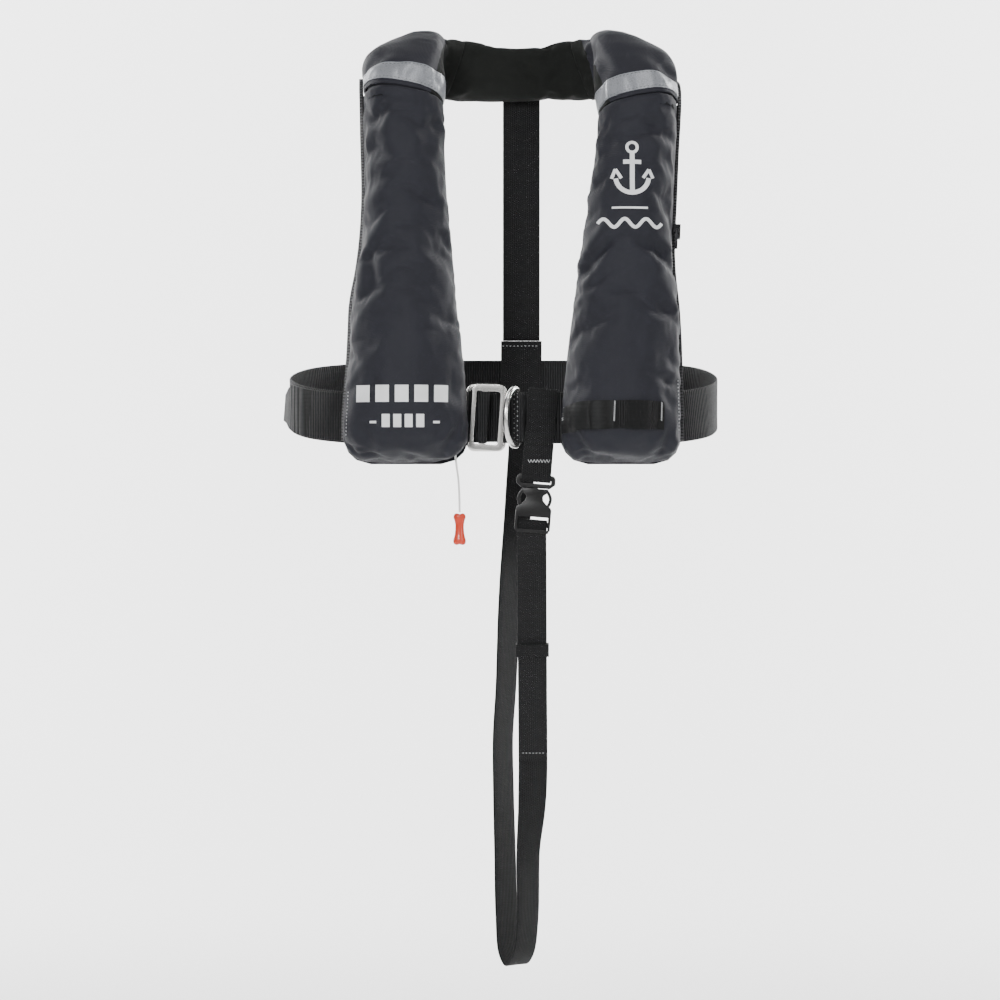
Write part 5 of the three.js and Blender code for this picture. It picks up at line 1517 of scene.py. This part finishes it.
class JACKET_OT_prints(bpy.types.Operator):
    """Plain white marks printed on the covers"""

    bl_idname = "jacket.prints"
    bl_label = "Prints"

    def execute(self, context):
        for side in ("right", "left"):
            tree = surface_tree([bpy.data.objects[side + "_lobe_cover_cloth"]])
            bm = bmesh.new()
            getattr(self, side)(bm, tree)
            for face in bm.faces:
                if face.normal.y > 0:
                    face.normal_flip()
            finished(bm, side + "_print", "white print", side + "_cover")
        return {"FINISHED"}

    def right(self, bm, tree):
        for k in range(5):
            x = 363.5 + 19.4 * k
            stroke(bm, tree, [(x, 385.5), (x, 402.5)], 0.0130, columns=8)
        for k in range(4):
            x = 386.5 + 11.4 * k
            stroke(bm, tree, [(x, 414.5), (x, 427.5)], 0.0076, columns=5)
        for x in (370.5, 433.5):
            stroke(bm, tree, [(x, 422.5), (x + 6.5, 422.5)], 0.0022)

    def left(self, bm, tree):
        middle = 632.5
        stroke(bm, tree, [(middle, 152), (middle, 192)], 0.0046, depth=-168)
        stroke(bm, tree, [(middle - 9, 161), (middle + 9, 161)], 0.0042, depth=-168)
        ring = [(middle + 5.2 * math.sin(a),
                 146 - 5.2 * math.cos(a)) for a in [math.tau * k / 20 for k in range(20)]]
        stroke(bm, tree, ring, 0.0030, closed=True, depth=-168)
        arms = [(middle + 16.5 * math.sin(a), 176 + 16.5 * math.cos(a))
                for a in [math.radians(-84 + 168 * k / 24) for k in range(25)]]
        stroke(bm, tree, arms, 0.0044, depth=-168)
        for turn in (-1, 1):
            x, y = middle + turn * 16.4, 174
            stroke(bm, tree, [(x - turn * 5.5, y + 3.5), (x + turn * 0.4, y - 5.5)], 0.0032, depth=-168)
            stroke(bm, tree, [(x + turn * 4.2, y + 3.8), (x + turn * 0.4, y - 5.5)], 0.0032, depth=-168)
        stroke(bm, tree, [(612, 207.5), (648, 207.5)], 0.0020, depth=-172)
        wave = [(598 + 64 * k / 60, 223 - 4.2 * math.sin(math.tau * 3 * k / 60)) for k in range(61)]
        stroke(bm, tree, wave, 0.0034, depth=-172)


def bar_tack(bm, tree, start, end, width, turns, thick=0.0006, lift=0.0002):
    """A zigzag of thread between two points, pulled onto the surface in the tree."""
    start, end = Vector(start), Vector(end)
    along = (end - start).normalized()
    hit = seen_from_front(tree, (start + end) / 2)
    side = along.cross(hit[1]).normalized()
    points = []
    for k in range(turns + 1):
        point = start.lerp(end, k / turns) + side * width * (0.5 if k % 2 else -0.5)
        place, normal, index, distance = seen_from_front(tree, point)
        points.append((place + normal * lift, normal))
    for (a, na), (b, nb) in zip(points, points[1:]):
        ahead = (b - a).normalized()
        normal = (na + nb).normalized()
        across = ahead.cross(normal).normalized()
        matrix = Matrix.Translation((a + b) / 2) @ Matrix((
            (ahead.x, across.x, normal.x, 0), (ahead.y, across.y, normal.y, 0),
            (ahead.z, across.z, normal.z, 0),
            (0, 0, 0, 1))) @ Matrix.Diagonal(((b - a).length / 2 + thick / 2, thick / 2, thick / 2, 1))
        bmesh.ops.create_icosphere(bm, subdivisions=1, radius=1.0, matrix=matrix)


class JACKET_OT_stitching(bpy.types.Operator):
    """White bar tacks and rows of stitches"""

    bl_idname = "jacket.stitching"
    bl_label = "Stitching"

    def execute(self, context):
        length = context.scene.jacket_sizes.stitch_length
        tacks = [
            ("accessory_strip_webbing", "left_cover", [((560, 396, -165), (562.5, 421, -165)),
                                                        ((615, 396, -209), (614, 421, -209)),
                                                        ((661.5, 396, -195), (661, 421, -195))], 0.0016, 26),
            ("ring_webbing_piece", "root", [((516, 392, -160), (516, 440, -160))], 0.0042, 20),
            ("crotch_upper_loop_piece", "root", [((528, 461, -153), (550, 461, -153))], 0.0036, 14),
        ]
        for name, body, runs, width, turns in tacks:
            tree = surface_tree([bpy.data.objects[name]])
            bm = bmesh.new()
            for a, b in runs:
                bar_tack(bm, tree, from_front(*a), from_front(*b), width, turns)
            finished(bm, name.rsplit("_", 1)[0] + "_tack", "white thread", body)
        rows = [
            ("back_strap_loop_piece", "root", [((502, 346, 42), (540, 346, 42))], 0.0026, 0.0012),
            ("strap_tail_piece", "socket", [((522, 753, -103), (546, 753, -103))], 0.0022, 0.0011),
            ("left_lobe_cover_cloth", "left_cover", [((677.5, 380, -168), (678.5, 434, -172))], 0.0018,
             0.0016),
            ("right_lobe_cover_cloth", "right_cover", [((349, 392, -170), (347, 436, -172))], 0.0018, 0.0016),
            ("right_shoulder_cloth", "root", [((431, 98, -120), (444, 109, -118))], 0.0016, 0.0012),
        ]
        for name, body, runs, stitch, gap in rows:
            tree = surface_tree([bpy.data.objects[name]])
            bm = bmesh.new()
            for a, b in runs:
                a, b = from_front(*a), from_front(*b)
                stitch_line(bm, [a.lerp(b, k / 12) for k in range(13)], tree, min(stitch, length), gap,
                            0.0007, 0.0002,
                            True)
            finished(bm, name.rsplit("_", 1)[0] + "_stitching", "white thread", body)
        return {"FINISHED"}


STEPS = [JACKET_OT_stage, JACKET_OT_pull_cord, JACKET_OT_lobes, JACKET_OT_shoulders, JACKET_OT_collar,
         JACKET_OT_bladder, JACKET_OT_tapes, JACKET_OT_zips, JACKET_OT_belt, JACKET_OT_back_strap,
         JACKET_OT_crotch_strap, JACKET_OT_steel, JACKET_OT_release_buckle, JACKET_OT_inflator,
         JACKET_OT_prints, JACKET_OT_stitching]


class JACKET_PT_panel(bpy.types.Panel):
    """Lists the jacket's pieces and settings"""

    bl_idname = "JACKET_PT_panel"
    bl_label = "Life jacket"
    bl_space_type = "VIEW_3D"
    bl_region_type = "UI"
    bl_category = "Life jacket"

    def draw(self, context):
        layout = self.layout
        for step in STEPS:
            layout.operator(step.bl_idname)
        for group in (context.scene.jacket_sizes, context.scene.jacket_colours):
            for name in group.bl_rna.properties.keys():
                if name not in {"rna_type", "name"}:
                    layout.prop(group, name)


CLASSES = [JacketSizes, JacketColours, *STEPS, JACKET_PT_panel]


def register():
    for cls in CLASSES:
        bpy.utils.register_class(cls)
    bpy.types.Scene.jacket_sizes = bpy.props.PointerProperty(type=JacketSizes)
    bpy.types.Scene.jacket_colours = bpy.props.PointerProperty(type=JacketColours)


def unregister():
    del bpy.types.Scene.jacket_sizes
    del bpy.types.Scene.jacket_colours
    for cls in reversed(CLASSES):
        bpy.utils.unregister_class(cls)


def main():
    register()
    for step in STEPS:
        area, name = step.bl_idname.split(".")
        getattr(getattr(bpy.ops, area), name)()


if __name__ == "__main__":
    main()
